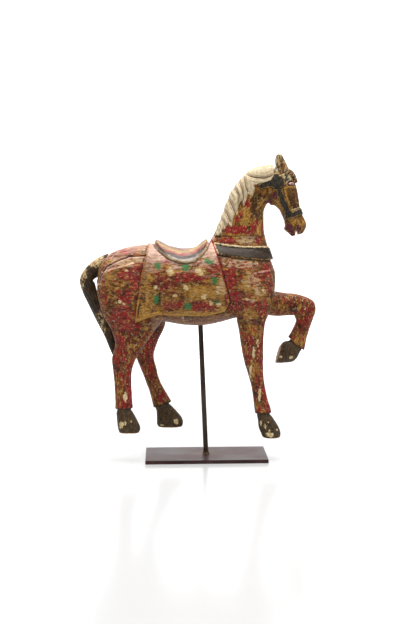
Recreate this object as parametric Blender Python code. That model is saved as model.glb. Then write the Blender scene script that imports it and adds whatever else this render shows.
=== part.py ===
"""Carved and painted wooden horse on a rod-and-plate steel stand.

The horse is built from blocks, as the real carving is: a body block, a neck and head block,
four leg blocks and a tail, glued at plain saw-cut joints. It stands on one steel rod, which
goes up into a hole in the belly and is welded to a flat steel plate.

The figure is drawn in its own units, about a millimetre each, with X towards the head, Y to
the horse's left, and Z up from LOWEST_SOLE to EAR_TIP. The rod meets the belly at ROD_SEAT.
Every limb is a list of stations. A station is one chord across the limb in the side view (its
two outline points) and half the limb's width. A smooth oval ring is carried through them.
Lines of the shallow carving are drawn in the same units; their depths and widths are real sizes.
"""
from math import radians, tan

import bmesh
import bpy
import numpy as np

# Driving sizes, in metres
HORSE_HEIGHT = 0.459
PLATE_LENGTH = 0.200
PLATE_WIDTH = 0.090
PLATE_THICKNESS = 0.006
PLATE_EDGE = 0.0004
ROD_DIAMETER = 0.008
ROD_LEAN = radians(2.4)
ROD_SOCKET_DEPTH = 0.035
HOOF_CLEARANCE = 0.033
WELD_WIDTH = 0.0155
WELD_HEIGHT = 0.0065
WELD_SAG = 0.9
FIT_GAP = 0.0003
TAIL_SEAT_CLEARANCE = 0.0013

# Depths and widths of the shallow carving, in metres
EDGE_WIDTH = 0.0020
BLANKET_RISE = 0.0023
SADDLE_RISE = 0.0026
SEAT_END_RISE = 0.0070
SEAT_END_SPREAD = 0.026
STRAP_RISE = 0.0022
BRIDLE_RISE = 0.0016
THROAT_STRAP_HALF_WIDTH = 0.0026
MANE_RISE = 0.0026
MANE_CUT_DEPTH = 0.0028
MANE_CUT_WIDTH = 0.0045
CREST_WIDTH = 0.008
CUT_DEPTH = 0.0022
CUT_WIDTH = 0.0030
MOUTH_CUT_WIDTH = 0.0024
NOSTRIL_RADIUS = 0.0032
EYE_RADIUS = 0.0045
EYE_DEPTH = 0.0014
EYE_RIM_WIDTH = 0.0020

# The figure's own units
LOWEST_SOLE = 3
EAR_TIP = 462
UNIT = HORSE_HEIGHT / (EAR_TIP - LOWEST_SOLE)
ROD_SEAT = (-9, 185)

# Fineness of the solids
RING_SIDES = 28
RINGS_PER_SPAN = 4
TAIL_SIDES = 16
TAIL_RINGS_PER_SPAN = 2
ROD_SIDES = 24
WELD_SIDES = 20
WELD_STEPS = 5
CARVING_GRAIN = 0.0017
SMOOTHING_ROUNDS = 16
PLAIN_FACES = 4400
HEAD_FACES = 3000
SHARP_ANGLE = radians(40)

PLATE_TOP = PLATE_THICKNESS
HOOF_LEVEL = PLATE_TOP + HOOF_CLEARANCE
BELLY_HEIGHT = HOOF_LEVEL + (ROD_SEAT[1] - LOWEST_SOLE) * UNIT

# Stations: rear or upper outline point, front or lower outline point, half width
TORSO = [
    ((-178, 270), (-175, 247), 9), ((-169, 291.5), (-169, 232), 24), ((-152, 304), (-152, 212), 34),
    ((-133, 311), (-134, 196), 39), ((-107, 316), (-108, 192), 41), ((-85, 316), (-85, 193), 42),
    ((-62, 311), (-62, 190.5), 42), ((-40, 306.5), (-42, 187), 42), ((-18, 308), (-18, 185), 42),
    ((4, 318), (2, 186), 42), ((23, 319), (23, 190.5), 42), ((55, 319), (56, 199), 41),
    ((82, 315), (82, 205), 37), ((100, 303), (101.5, 219), 28), ((112, 275), (112, 239), 13),
]
NECK = [
    ((8, 303), (108, 293), 26), ((9, 323), (100, 316), 24), ((17, 337), (95, 335), 22),
    ((21.5, 350), (94, 347), 21), ((26, 362), (94, 358), 20), ((33, 381), (94, 371), 18),
    ((41.5, 401), (98, 381), 17), ((52.5, 417), (100, 383), 16), ((68, 433), (104, 384), 16),
    ((86, 441), (109, 384), 16), ((106, 444), (115, 384), 16),
]
HEAD = [
    ((113, 444), (99, 392), 14), ((130, 438), (104, 381), 17), ((139, 426), (112, 379), 18),
    ((146, 411), (119, 372.5), 17), ((150, 394), (123, 365.5), 15), ((153, 376), (127, 356), 13),
    ((159, 361), (128.5, 347), 12), ((163.5, 350), (127, 342), 12), ((162, 342), (132, 337), 11),
    ((158, 335), (140, 330), 8),
]
EAR = [
    ((115, 428), (135, 433), 5), ((114, 443), (130, 445), 5), ((113, 452), (126, 453), 4.5),
    ((114, 458), (123, 459), 3.5), ((116, 462), (120, 462), 2),
]
FORELOCK = [
    ((130, 442), (125, 428), 8), ((139.5, 436), (132, 424), 8), ((145.5, 428), (137, 418), 7),
    ((149, 418), (143, 414), 4),
]
RIGHT_HIND = [
    ((-168, 274), (-113, 290), 14), ((-175, 246), (-97, 249), 20), ((-170, 217), (-81, 223), 20),
    ((-164, 201), (-70, 202), 19), ((-153, 181), (-83, 181), 17), ((-147, 158), (-99, 158), 14),
    ((-152.5, 136), (-115, 132), 11.5), ((-151, 115), (-121, 113), 10), ((-149, 93), (-122, 93), 9.5),
    ((-148, 74), (-121, 73), 9.5), ((-148, 53), (-120, 54), 10.5),
]
RIGHT_HIND_HOOF = [
    ((-142, 60), (-126, 60), 8), ((-146, 48), (-122, 50), 10), ((-146, 42), (-119, 46), 11.5),
    ((-145, 28), (-110, 28), 14), ((-144, 20), (-108, 20), 14.5), ((-142, 14), (-110, 14), 13.5),
]
LEFT_HIND = [
    ((-168, 274), (-113, 290), 14), ((-173, 246), (-97, 249), 20), ((-156, 219), (-78, 225), 20),
    ((-133, 188), (-66, 189), 17), ((-124, 154), (-79.5, 154), 14), ((-116, 130), (-86, 131), 11.5),
    ((-107, 107), (-82, 111), 10), ((-99, 86), (-76.5, 90), 9.5), ((-92, 66), (-67.5, 72), 9.5),
    ((-87, 43), (-57, 53), 10.5),
]
LEFT_HIND_HOOF = [
    ((-84, 52), (-68, 58), 8), ((-83.5, 42), (-60, 48.5), 10), ((-82, 36), (-55, 44), 11.5),
    ((-81.5, 24), (-42, 29), 14), ((-81.5, 16), (-37.5, 19), 14.5), ((-79.5, 11), (-38.5, 11), 13.5),
]
RIGHT_FORE = [
    ((54, 269), (103, 277), 14), ((47, 236), (109, 244), 20), ((47, 209), (103, 212), 19),
    ((49, 194), (96, 194), 17.5), ((52.5, 176), (93, 176), 16), ((56, 153), (92, 155), 14),
    ((61, 129), (92, 130), 12.5), ((67.5, 107), (92.5, 109), 11), ((73, 87), (94.5, 89), 10.5),
    ((76, 68), (99, 69), 10), ((79, 43), (106.5, 44), 11),
]
RIGHT_FORE_HOOF = [
    ((81, 50), (99, 50), 8), ((82.5, 38), (105, 39), 10), ((83.5, 33), (108, 36), 11.5),
    ((85.5, 19), (118, 20), 14), ((89, 10), (121, 11), 15), ((92, 3), (120.5, 3), 14),
]
LEFT_SHOULDER = [
    ((54, 269), (103, 277), 14), ((48, 238), (108, 245), 19), ((56, 210), (104, 212), 17),
]
LEFT_FORE = [
    ((82, 242), (82, 202), 16), ((94, 241), (94, 200), 18), ((117, 238), (118, 197), 17),
    ((137, 235), (138, 198), 16), ((156, 232.5), (148, 198), 15), ((179.5, 222), (149, 195), 14.5),
    ((183.5, 205.5), (151, 190), 14), ((178, 188), (149, 182), 13), ((172, 170), (144, 172), 12),
    ((165, 139), (138, 162), 11),
]
LEFT_FORE_HOOF = [
    ((161, 149), (146, 160), 8), ((161, 141.5), (139, 155.5), 10), ((158, 136), (135, 155), 11.5),
    ((152, 125), (130, 153), 13.5), ((142, 119), (127, 150), 14.5), ((117, 118), (125, 146), 13.5),
]
TAIL = [
    ((-158, 303), (-174, 266), 11), ((-172, 297), (-179, 263), 11.5), ((-185, 288.5), (-183, 260), 12),
    ((-196, 278), (-183.5, 258), 12), ((-203, 267), (-181, 254.5), 12), ((-204.5, 255), (-179.5, 249), 12),
    ((-200, 240), (-177, 240), 12), ((-191, 220), (-167, 222), 11.5), ((-179, 194), (-158, 199), 10.5),
    ((-166, 168), (-150, 173), 9), ((-158, 148), (-147, 151), 7), ((-152, 134), (-146, 136), 4),
]
# Each part of the carving: its stations and the place of its middle in Y
CARVING = [
    (TORSO, 0), (NECK, 0), (HEAD, 0), (EAR, -9), (EAR, 9), (FORELOCK, 0),
    (RIGHT_HIND, -28), (RIGHT_HIND_HOOF, -28), (LEFT_HIND, 27), (LEFT_HIND_HOOF, 27),
    (RIGHT_FORE, -24), (RIGHT_FORE_HOOF, -24),
    (LEFT_SHOULDER, 24), (LEFT_FORE, 22), (LEFT_FORE_HOOF, 22),
]

# Outlines of the shallow carving, in the side view
BLANKET = [
    (-92, 330), (-97, 301), (-105, 266), (-111, 225), (-114, 195), (-104, 199), (-80, 207),
    (-46, 205), (-2, 204), (29, 211), (36, 227), (27, 264), (13, 315), (15, 345), (-92, 345),
]
SADDLE = [
    (-88, 345), (-87, 323), (-82, 313), (-71, 303), (-59, 294), (-45, 289), (-31, 288), (-19, 291),
    (-9, 299), (0, 310), (6, 322), (12, 331), (13, 345),
]
CHEST_STRAP = [
    (10, 321), (30, 318), (58, 315), (96, 314), (125, 312), (125, 293), (89, 293), (58, 296), (18, 302),
]
HAUNCH_CUT = [(-97, 300), (-123, 299), (-144, 291), (-160, 282), (-168, 270), (-171, 257)]
CROWN_PIECE = [(105, 427), (109, 430), (115, 429), (126, 421), (127, 414), (122, 411), (109, 413)]
CHEEK_STRAP = [
    (109, 414), (113, 408), (117, 392), (123, 386), (128, 375), (130, 368), (137, 372), (134, 380),
    (128, 390), (124, 403), (122, 412),
]
NOSE_BAND = [(130, 369), (138, 372), (151, 376), (168, 380), (168, 366), (155, 366), (140, 361), (128, 357)]
THROAT_STRAP = [(106, 418), (83, 409)]
MOUTH_CUT = [(140, 330), (145, 337), (150, 339)]
NOSTRIL = (154, 344)
EYE = (136, 411)
EYE_STRETCH = 1.5
# The mane's outline, with the tips of its locks, and the knife cuts between the locks
MANE = [
    (108, 428), (103, 420), (91, 416), (81, 414), (78, 408), (74, 394), (69, 397), (66, 401), (64, 389),
    (60, 378), (57, 388), (52, 382), (49, 363), (46, 371), (43, 360), (40, 344), (35, 352), (30, 340),
    (26, 338), (22, 326), (0, 322), (4, 360), (28, 400), (50, 435), (80, 455), (108, 455),
]
MANE_CUTS = [
    [(64, 430), (71, 426), (79, 424), (94, 423), (103, 427)],
    [(61, 426), (62, 417), (64, 408), (67, 401)],
    [(53, 419), (58, 405), (60, 392), (57, 382)],
    [(44, 411), (53, 395), (52, 384), (51, 372)],
    [(34, 394), (40, 383), (44, 373), (46, 369)],
    [(27, 374), (34, 365), (38, 354)],
    [(23, 361), (28, 354), (31, 344)],
]

# How fast the seat's raised ends fade down its sides, where the blanket, saddle and strap may
# reach in front, and where the mane and the head's carving start
SEAT_STEEPNESS = 1.5
BODY_FRONT = 130
NECK_BACK = 5
MANE_FOOT = 324

# Saw cuts between the blocks: box corners in figure units
HEAD_CUT = 331
SAW_CUTS = {
    "head_and_neck": ((-5, -60, HEAD_CUT), (200, 60, 500)),
    "right_foreleg": ((40, -60, -10), (140, -3, 192)),
    "left_foreleg": ((116.5, 2, 100), (200, 60, 250)),
    "right_hind_leg": ((-190, -60, -10), (-60, -6, 181)),
    "left_hind_leg": ((-190, 6, -10), (-20, 60, 181)),
}
TAIL_SEAT_DEPTH = 30
TAIL_SEAT_SPARE = 24

COLOURS = {
    "body": (0.30, 0.13, 0.05),
    "head_and_neck": (0.55, 0.42, 0.26),
    "right_foreleg": (0.30, 0.09, 0.05),
    "left_foreleg": (0.32, 0.20, 0.07),
    "right_hind_leg": (0.30, 0.09, 0.05),
    "left_hind_leg": (0.25, 0.08, 0.05),
    "tail": (0.03, 0.03, 0.03),
    "rod": (0.07, 0.06, 0.05),
    "weld": (0.16, 0.11, 0.08),
    "base_plate": (0.08, 0.07, 0.06),
}
STEEL_PIECES = ("rod", "weld", "base_plate")
STEEL_ROUGHNESS = 0.45
PAINT_ROUGHNESS = 0.6


def rod_offset(height):
    """The rod leans back, so its axis moves in X with the height above the plate."""
    return -tan(ROD_LEAN) * (height - PLATE_TOP)


FIGURE_PLACE = np.array([
    rod_offset(BELLY_HEIGHT) - ROD_SEAT[0] * UNIT,
    0.0,
    HOOF_LEVEL - LOWEST_SOLE * UNIT,
])


def finish(name, mesh):
    """A named object of one mesh, with its own material and smooth round faces."""
    is_steel = name in STEEL_PIECES
    material = bpy.data.materials.new(name)
    material.use_nodes = True
    shader = material.node_tree.nodes["Principled BSDF"]
    shader.inputs["Base Color"].default_value = (*COLOURS[name], 1)
    shader.inputs["Metallic"].default_value = 1.0 if is_steel else 0.0
    shader.inputs["Roughness"].default_value = STEEL_ROUGHNESS if is_steel else PAINT_ROUGHNESS
    mesh.materials.clear()
    mesh.materials.append(material)
    mesh.shade_smooth()
    mesh.set_sharp_from_angle(angle=SHARP_ANGLE)
    obj = bpy.data.objects.new(name, mesh)
    bpy.context.collection.objects.link(obj)
    return obj


def guide(name, mesh):
    """A cutter or guide: it stays out of the finished model."""
    obj = bpy.data.objects.new(name, mesh)
    bpy.context.collection.objects.link(obj)
    obj.hide_render = True
    obj.display_type = "WIRE"
    return obj


def mesh_of(bm, name):
    """A closed mesh from its drawing, faces outward."""
    bm.normal_update()
    bmesh.ops.recalc_face_normals(bm, faces=bm.faces)
    mesh = bpy.data.meshes.new(name)
    bm.to_mesh(mesh)
    bm.free()
    return mesh


def evaluated_mesh(obj):
    """The object's mesh with its modifiers in it."""
    depsgraph = bpy.context.evaluated_depsgraph_get()
    return bpy.data.meshes.new_from_object(obj.evaluated_get(depsgraph))


def smooth_stations(stations, per_span):
    """Rows (x1, z1, x2, z2, half width) on a smooth curve through the stations."""
    rows = np.array([(*first, *second, half) for first, second, half in stations], float)
    padded = np.vstack([2 * rows[0] - rows[1], rows, 2 * rows[-1] - rows[-2]])
    result = []
    for index in range(1, len(rows)):
        before, start, end, after = padded[index - 1:index + 3]
        for share in np.arange(per_span) / per_span:
            straight = 2 * start + (end - before) * share
            bend = (2 * before - 5 * start + 4 * end - after) * share ** 2
            twist = (3 * start - before - 3 * end + after) * share ** 3
            result.append((straight + bend + twist) / 2)
    result.append(rows[-1])
    return np.array(result)


def join_rings(bm, ring, following):
    """A band of four-sided faces between two rings."""
    sides = len(ring)
    for side in range(sides):
        after = (side + 1) % sides
        bm.faces.new((ring[side], ring[after], following[after], following[side]))


def add_loft(bm, stations, middle, sides, per_span, squareness=2.4):
    """A closed tube of oval rings through the stations, with flat ends."""
    angles = np.arange(sides) * 2 * np.pi / sides
    along = np.sign(np.cos(angles)) * np.abs(np.cos(angles)) ** (2 / squareness)
    across = np.sign(np.sin(angles)) * np.abs(np.sin(angles)) ** (2 / squareness)
    rings = []
    for x1, z1, x2, z2, half in smooth_stations(stations, per_span):
        x = (x1 + x2) / 2 + along * (x1 - x2) / 2
        z = (z1 + z2) / 2 + along * (z1 - z2) / 2
        y = middle + across * half
        rings.append([bm.verts.new(point) for point in np.column_stack([x, y, z])])
    for lower, upper in zip(rings, rings[1:]):
        join_rings(bm, lower, upper)
    bm.faces.new(rings[0][::-1])
    bm.faces.new(rings[-1])


def lofted_mesh(name, parts, sides=RING_SIDES, per_span=RINGS_PER_SPAN):
    """One mesh of several closed tubes, faces outward."""
    bm = bmesh.new()
    for stations, middle in parts:
        add_loft(bm, stations, middle, sides, per_span)
    return mesh_of(bm, name)


def fused(name, mesh):
    """The overlapping tubes as one skin of small even faces."""
    obj = guide(name, mesh)
    remesh = obj.modifiers.new("fuse", "REMESH")
    remesh.mode = "VOXEL"
    remesh.voxel_size = CARVING_GRAIN / UNIT
    return evaluated_mesh(obj)


def read_points(mesh):
    """The mesh's points as rows."""
    points = np.empty(len(mesh.vertices) * 3, np.float32)
    mesh.vertices.foreach_get("co", points)
    return points.reshape(-1, 3).astype(float)


def write_points(mesh, points):
    """Puts rows of points back into the mesh."""
    mesh.vertices.foreach_set("co", points.astype(np.float32).ravel())
    mesh.update()


def read_normals(mesh):
    """The direction in which each point of the skin faces."""
    normals = np.empty(len(mesh.vertices) * 3, np.float32)
    mesh.vertices.foreach_get("normal", normals)
    return normals.reshape(-1, 3).astype(float)


def relaxed(mesh, points, rounds, pull=0.6, push=0.618):
    """Points drawn to their neighbours' middle and pushed back, which smooths without shrinking."""
    edges = np.empty(len(mesh.edges) * 2, np.int32)
    mesh.edges.foreach_get("vertices", edges)
    starts, ends = edges.reshape(-1, 2).T
    total = len(points)
    neighbours = np.bincount(starts, minlength=total) + np.bincount(ends, minlength=total)
    for _ in range(rounds):
        for amount in (pull, -push):
            middle = np.empty_like(points)
            for axis in range(3):
                middle[:, axis] = np.bincount(starts, points[ends, axis], total)
                middle[:, axis] += np.bincount(ends, points[starts, axis], total)
            points = points + amount * (middle / neighbours[:, None] - points)
    return points


def line_distance(flat, line, closed=False):
    """Distance in metres, in the side view, from each point to a line of straight runs."""
    corners = np.array(line, float)
    following = np.roll(corners, -1, axis=0)
    if not closed:
        corners, following = corners[:-1], following[:-1]
    nearest = np.full(len(flat), np.inf)
    for start, end in zip(corners, following):
        run = end - start
        share = np.clip((flat - start) @ run / (run @ run), 0, 1)
        nearest = np.minimum(nearest, np.linalg.norm(flat - start - share[:, None] * run, axis=1))
    return nearest * UNIT


def outline_depth(flat, outline):
    """Distance in metres to a closed outline in the side view, positive inside it."""
    inside = np.zeros(len(flat), bool)
    corners = np.array(outline, float)
    for (x1, z1), (x2, z2) in zip(corners, np.roll(corners, -1, axis=0)):
        crosses = (z1 > flat[:, 1]) != (z2 > flat[:, 1])
        if z1 != z2:
            reach = x1 + (flat[:, 1] - z1) * (x2 - x1) / (z2 - z1)
            inside ^= crosses & (flat[:, 0] < reach)
    return np.where(inside, 1, -1) * line_distance(flat, outline, closed=True)


def rise(depth, width=EDGE_WIDTH):
    """0 outside an edge, 1 inside it, with a smooth step of the given width."""
    share = np.clip(depth / width + 0.5, 0, 1)
    return share * share * (3 - 2 * share)


def groove(distance, width=CUT_WIDTH):
    """1 on a line, 0 at the given distance from it, as a knife cut."""
    return np.clip(1 - distance / width, 0, 1)


def seat_end(x, end):
    """1 at one end of the saddle, falling to 0 along the seat."""
    return np.clip(1 - np.abs(x - end[0]) * UNIT / SEAT_END_SPREAD, 0, 1)


def carved_trappings(flat, upward):
    """Height of the blanket, saddle and chest strap above the wood, in metres."""
    x, z = flat.T
    on_body = (z < HEAD_CUT) & (x < BODY_FRONT)
    blanket = rise(outline_depth(flat, BLANKET)) * on_body
    saddle = rise(outline_depth(flat, SADDLE)) * on_body
    strap = rise(outline_depth(flat, CHEST_STRAP)) * (1 - blanket)
    seat_ends = seat_end(x, SADDLE[0]) + seat_end(x, SADDLE[-1])
    height = blanket * BLANKET_RISE + saddle * SADDLE_RISE + strap * STRAP_RISE
    return height + saddle * upward * seat_ends * SEAT_END_RISE


def carved_mane_and_bridle(flat):
    """Height of the mane's locks and of the bridle's straps, in metres."""
    x, z = flat.T
    crest = [station[0] for station in (*NECK, HEAD[0])]
    side = 1 - rise(CREST_WIDTH - line_distance(flat, crest), CREST_WIDTH)
    cuts = np.min([line_distance(flat, line) for line in MANE_CUTS], axis=0)
    foot = np.clip((z - MANE_FOOT) * UNIT / CREST_WIDTH, 0, 1)
    mane = rise(outline_depth(flat, MANE)) * foot * (x > NECK_BACK)
    straps = [rise(outline_depth(flat, line)) for line in (CROWN_PIECE, CHEEK_STRAP, NOSE_BAND)]
    straps.append(rise(THROAT_STRAP_HALF_WIDTH - line_distance(flat, THROAT_STRAP)))
    bridle = np.max(straps, axis=0) * (z > MANE_FOOT) * (1 - mane)
    locks = MANE_RISE - groove(cuts, MANE_CUT_WIDTH) * MANE_CUT_DEPTH * side
    return mane * locks + bridle * BRIDLE_RISE


def carved_face(flat):
    """Height of the eyeball, less the cuts round the eye, nostril and mouth, in metres."""
    x, z = flat.T
    mouth = groove(line_distance(flat, MOUTH_CUT), MOUTH_CUT_WIDTH)
    nostril = groove(np.hypot(x - NOSTRIL[0], z - NOSTRIL[1]) * UNIT, NOSTRIL_RADIUS)
    from_eye = np.hypot((x - EYE[0]) / EYE_STRETCH, z - EYE[1]) * UNIT
    eyeball = np.clip(1 - (from_eye / EYE_RADIUS) ** 2, 0, 1)
    rim = groove(np.abs(from_eye - EYE_RADIUS), EYE_RIM_WIDTH)
    return ((eyeball - rim) * EYE_DEPTH - (mouth + nostril) * CUT_DEPTH) * (z > MANE_FOOT)


def carved(points, normals):
    """The shallow carving: each point moves out along its normal by the carving's height."""
    flat = points[:, [0, 2]]
    upward = np.clip(normals[:, 2] * SEAT_STEEPNESS, 0, 1)
    height = carved_trappings(flat, upward) + carved_mane_and_bridle(flat) + carved_face(flat)
    height -= groove(line_distance(flat, HAUNCH_CUT)) * CUT_DEPTH
    return points + normals * height[:, None] / UNIT


def thin_out(obj, name, ratio, group):
    """Fewer faces on one group of points; the carved edges keep theirs longest."""
    thin = obj.modifiers.new(name, "DECIMATE")
    thin.ratio = ratio
    thin.use_collapse_triangulate = True
    thin.vertex_group = group.name
    return thin


def carve_figure():
    """The whole horse without its tail, as one carved skin in figure units."""
    mesh = fused("figure_tubes", lofted_mesh("figure_tubes", CARVING))
    write_points(mesh, relaxed(mesh, read_points(mesh), SMOOTHING_ROUNDS))
    plain = read_points(mesh)
    write_points(mesh, carved(plain, read_normals(mesh)))
    figure = guide("figure", mesh)
    plain_group = figure.vertex_groups.new(name="plain wood")
    on_head = (plain[:, 2] > HEAD_CUT) & (plain[:, 0] > 0)
    plain_group.add(np.flatnonzero(~on_head).tolist(), 1.0, "REPLACE")
    faces = sum(len(polygon.vertices) - 2 for polygon in mesh.polygons)
    head_faces = 2 * np.count_nonzero(on_head)
    after_body = head_faces + PLAIN_FACES
    thin_out(figure, "fewer body faces", after_body / faces, plain_group)
    head = thin_out(figure, "fewer head faces", (HEAD_FACES + PLAIN_FACES) / after_body, plain_group)
    head.invert_vertex_group = True
    return evaluated_mesh(figure)


def placed(mesh):
    """The figure's mesh at its real size and place above the plate."""
    write_points(mesh, read_points(mesh) * UNIT + FIGURE_PLACE)
    return mesh


def box_mesh(name, low, high):
    """A plain box between two corners, in metres."""
    bm = bmesh.new()
    bmesh.ops.create_cube(bm, size=1)
    for vert in bm.verts:
        for axis in range(3):
            vert.co[axis] = (low[axis] + high[axis]) / 2 + vert.co[axis] * (high[axis] - low[axis])
    return mesh_of(bm, name)


def saw_box(name, low, high, grow=0.0):
    """A box cutter given in figure units, grown all round by a gap in metres."""
    low = np.array(low) * UNIT + FIGURE_PLACE - grow
    high = np.array(high) * UNIT + FIGURE_PLACE + grow
    return guide(name, box_mesh(name, low, high))


def cut(obj, cutter, operation="DIFFERENCE"):
    """Takes the cutter away from the object, or keeps only what is in both."""
    boolean = obj.modifiers.new(cutter.name, "BOOLEAN")
    boolean.operation = operation
    boolean.object = cutter
    boolean.solver = "EXACT"


def leaning_ring(bm, radius, height, sides):
    """A level ring of points round the leaning rod's axis."""
    angles = np.arange(sides) * 2 * np.pi / sides
    x = rod_offset(height) + radius * np.cos(angles)
    y = radius * np.sin(angles)
    return [bm.verts.new((*place, height)) for place in zip(x, y)]


def weld_mesh(profile):
    """A closed turned bead round the rod: profile rows are (radius, height)."""
    bm = bmesh.new()
    rings = [leaning_ring(bm, radius, height, WELD_SIDES) for radius, height in profile]
    for ring, following in zip(rings, rings[1:] + rings[:1]):
        join_rings(bm, ring, following)
    return mesh_of(bm, "weld")


def rod_mesh(name, radius, bottom, top):
    """A round bar along the leaning axis, with flat level ends."""
    bm = bmesh.new()
    lower = leaning_ring(bm, radius, bottom, ROD_SIDES)
    upper = leaning_ring(bm, radius, top, ROD_SIDES)
    join_rings(bm, lower, upper)
    bm.faces.new(lower[::-1])
    bm.faces.new(upper)
    return mesh_of(bm, name)


def make_blocks():
    """The horse's carved skin, sawn into its glued blocks."""
    skin = placed(carve_figure())
    body = finish("body", skin)
    for name, (low, high) in SAW_CUTS.items():
        block = finish(name, skin.copy())
        cut(block, saw_box(f"saw_{name}", low, high), "INTERSECT")
        cut(body, saw_box(f"kerf_{name}", low, high, FIT_GAP))
    return body


def make_tail(body):
    """The tail, and its flat slanted seat on the rump."""
    finish("tail", placed(lofted_mesh("tail", [(TAIL, 0)], TAIL_SIDES, TAIL_RINGS_PER_SPAN)))
    (x1, z1), (x2, z2), half_width = TAIL[0]
    length = np.hypot(x1 - x2, z1 - z2)
    along = np.array([x1 - x2, 0, z1 - z2]) / length
    outward = np.array([-along[2], 0, along[0]])
    middle = np.array([(x1 + x2) / 2, 0, (z1 + z2) / 2])
    front = middle * UNIT + FIGURE_PLACE - outward * FIT_GAP
    width = half_width * 2 * UNIT + TAIL_SEAT_CLEARANCE * 2
    bm = bmesh.new()
    bmesh.ops.create_cube(bm, size=1)
    for vert in bm.verts:
        depth, side, height = vert.co
        place = front + outward * (depth + 0.5) * TAIL_SEAT_DEPTH * UNIT
        place += along * height * (length + TAIL_SEAT_SPARE) * UNIT
        place[1] = side * width
        vert.co = place
    cut(body, guide("tail_seat", mesh_of(bm, "tail_seat")))


def make_weld():
    """The hollow-sided bead that joins the rod's foot to the plate."""
    inner = ROD_DIAMETER / 2 + FIT_GAP
    rim = WELD_WIDTH / 2
    foot = PLATE_TOP + FIT_GAP
    angles = np.linspace(0, np.pi / 2, WELD_STEPS)
    radii = rim - (rim - inner - FIT_GAP) * np.sin(angles)
    heights = foot + WELD_HEIGHT * (1 - np.cos(angles)) ** WELD_SAG
    finish("weld", weld_mesh([(inner, foot), *zip(radii, heights), (inner, foot + WELD_HEIGHT)]))


def make_stand(body):
    """Plate, rod and weld bead; the rod's top goes into a hole in the belly."""
    bore_foot = BELLY_HEIGHT - ROD_DIAMETER * 2
    bore_top = BELLY_HEIGHT + ROD_SOCKET_DEPTH
    bore = rod_mesh("rod_bore", ROD_DIAMETER / 2 + FIT_GAP, bore_foot, bore_top)
    cut(body, guide("rod_bore", bore))
    finish("rod", rod_mesh("rod", ROD_DIAMETER / 2, PLATE_TOP + FIT_GAP, bore_top - FIT_GAP))
    make_weld()
    low = (-PLATE_LENGTH / 2, -PLATE_WIDTH / 2, 0)
    high = (PLATE_LENGTH / 2, PLATE_WIDTH / 2, PLATE_THICKNESS)
    plate = finish("base_plate", box_mesh("base_plate", low, high))
    edge = plate.modifiers.new("rolled edge", "BEVEL")
    edge.width = PLATE_EDGE
    edge.segments = 2


for old in list(bpy.data.objects):
    bpy.data.objects.remove(old)
horse_body = make_blocks()
make_tail(horse_body)
make_stand(horse_body)
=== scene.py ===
"""Looks of a carved and painted wooden horse on a rod-and-plate steel stand.

The sections follow the object from the plate up: the steel stand, the body block, the head
and neck block, the four legs and the tail, then the floor, the lights and the camera.
The figure is drawn in its own units, about a millimetre each, with X towards the head, Y to
the horse's left and Z up. A station is one chord across a limb in the side view (its two
outline points) and half the limb's width.
"""
from math import cos, hypot, pi, radians, sin

import bpy
import numpy as np
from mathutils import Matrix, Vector


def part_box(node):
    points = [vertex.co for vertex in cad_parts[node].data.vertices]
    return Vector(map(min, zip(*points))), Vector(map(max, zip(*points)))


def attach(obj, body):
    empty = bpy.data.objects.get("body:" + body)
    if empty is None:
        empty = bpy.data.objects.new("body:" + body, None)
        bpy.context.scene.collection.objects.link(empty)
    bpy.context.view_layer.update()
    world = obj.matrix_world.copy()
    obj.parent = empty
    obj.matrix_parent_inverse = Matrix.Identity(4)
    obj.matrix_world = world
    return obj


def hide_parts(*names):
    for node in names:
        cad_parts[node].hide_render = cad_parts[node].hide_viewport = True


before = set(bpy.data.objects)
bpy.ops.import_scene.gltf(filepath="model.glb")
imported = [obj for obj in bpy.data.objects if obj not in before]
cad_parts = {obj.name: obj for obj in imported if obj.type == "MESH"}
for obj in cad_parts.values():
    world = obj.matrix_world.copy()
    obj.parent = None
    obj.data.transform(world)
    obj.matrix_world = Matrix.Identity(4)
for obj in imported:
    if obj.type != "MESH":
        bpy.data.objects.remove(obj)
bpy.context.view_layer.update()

# The stand: a flat steel plate and a round steel rod, waxed dark, which keep their CAD solids.
# Their finish is dark brown-grey mill steel with a soft sheen, faint rolling marks along the
# plate and a rusty smear where the rod was welded on.
STEEL_DARK = "#3A2826"
STEEL_PALE = "#5C4341"
ROD_DARK = "#2B2320"
ROD_PALE = "#5A4A40"
RUST = "#5B4632"
SMEAR_LENGTH = 0.034
SMEAR_WIDTH = 0.015


def paint(code):
    """A colour swatch as the linear values that a shader takes."""
    shares = np.array([int(code[place:place + 2], 16) for place in (1, 3, 5)]) / 255
    linear = np.where(shares <= 0.04045, shares / 12.92, ((shares + 0.055) / 1.055) ** 2.4)
    return (*linear.tolist(), 1.0)


def put(tree, kind, values, **settings):
    """A shader node with its settings, and its sockets set or joined to others."""
    node = tree.nodes.new(kind)
    for name, value in settings.items():
        setattr(node, name, value)
    for name, value in values.items():
        if isinstance(value, bpy.types.NodeSocket):
            tree.links.new(value, node.inputs[name])
        else:
            node.inputs[name].default_value = value
    return node


def grain_noise(tree, size, long=1.0, tilt=0.0, shift=0.0, detail=4.0, rough=0.55):
    """Noise with features of a size in metres, drawn out along a grain tilted in the side view."""
    place = put(tree, "ShaderNodeTexCoord", {}).outputs["Object"]
    turned = put(tree, "ShaderNodeMapping", {
        "Vector": place,
        "Location": (shift, shift * 0.7, -shift),
        "Rotation": (0.0, -tilt, 0.0),
        "Scale": (size * long, size, size),
    }, vector_type="TEXTURE").outputs["Vector"]
    return put(tree, "ShaderNodeTexNoise", {
        "Vector": turned, "Scale": 1.0, "Detail": detail, "Roughness": rough,
    }).outputs["Fac"]


def between(tree, value, low, high, start=0.0, end=1.0):
    """A value's smooth way from start to end as it goes from low to high."""
    return put(tree, "ShaderNodeMapRange", {
        "Value": value, "From Min": low, "From Max": high, "To Min": start, "To Max": end,
    }, interpolation_type="SMOOTHSTEP").outputs["Result"]


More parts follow.
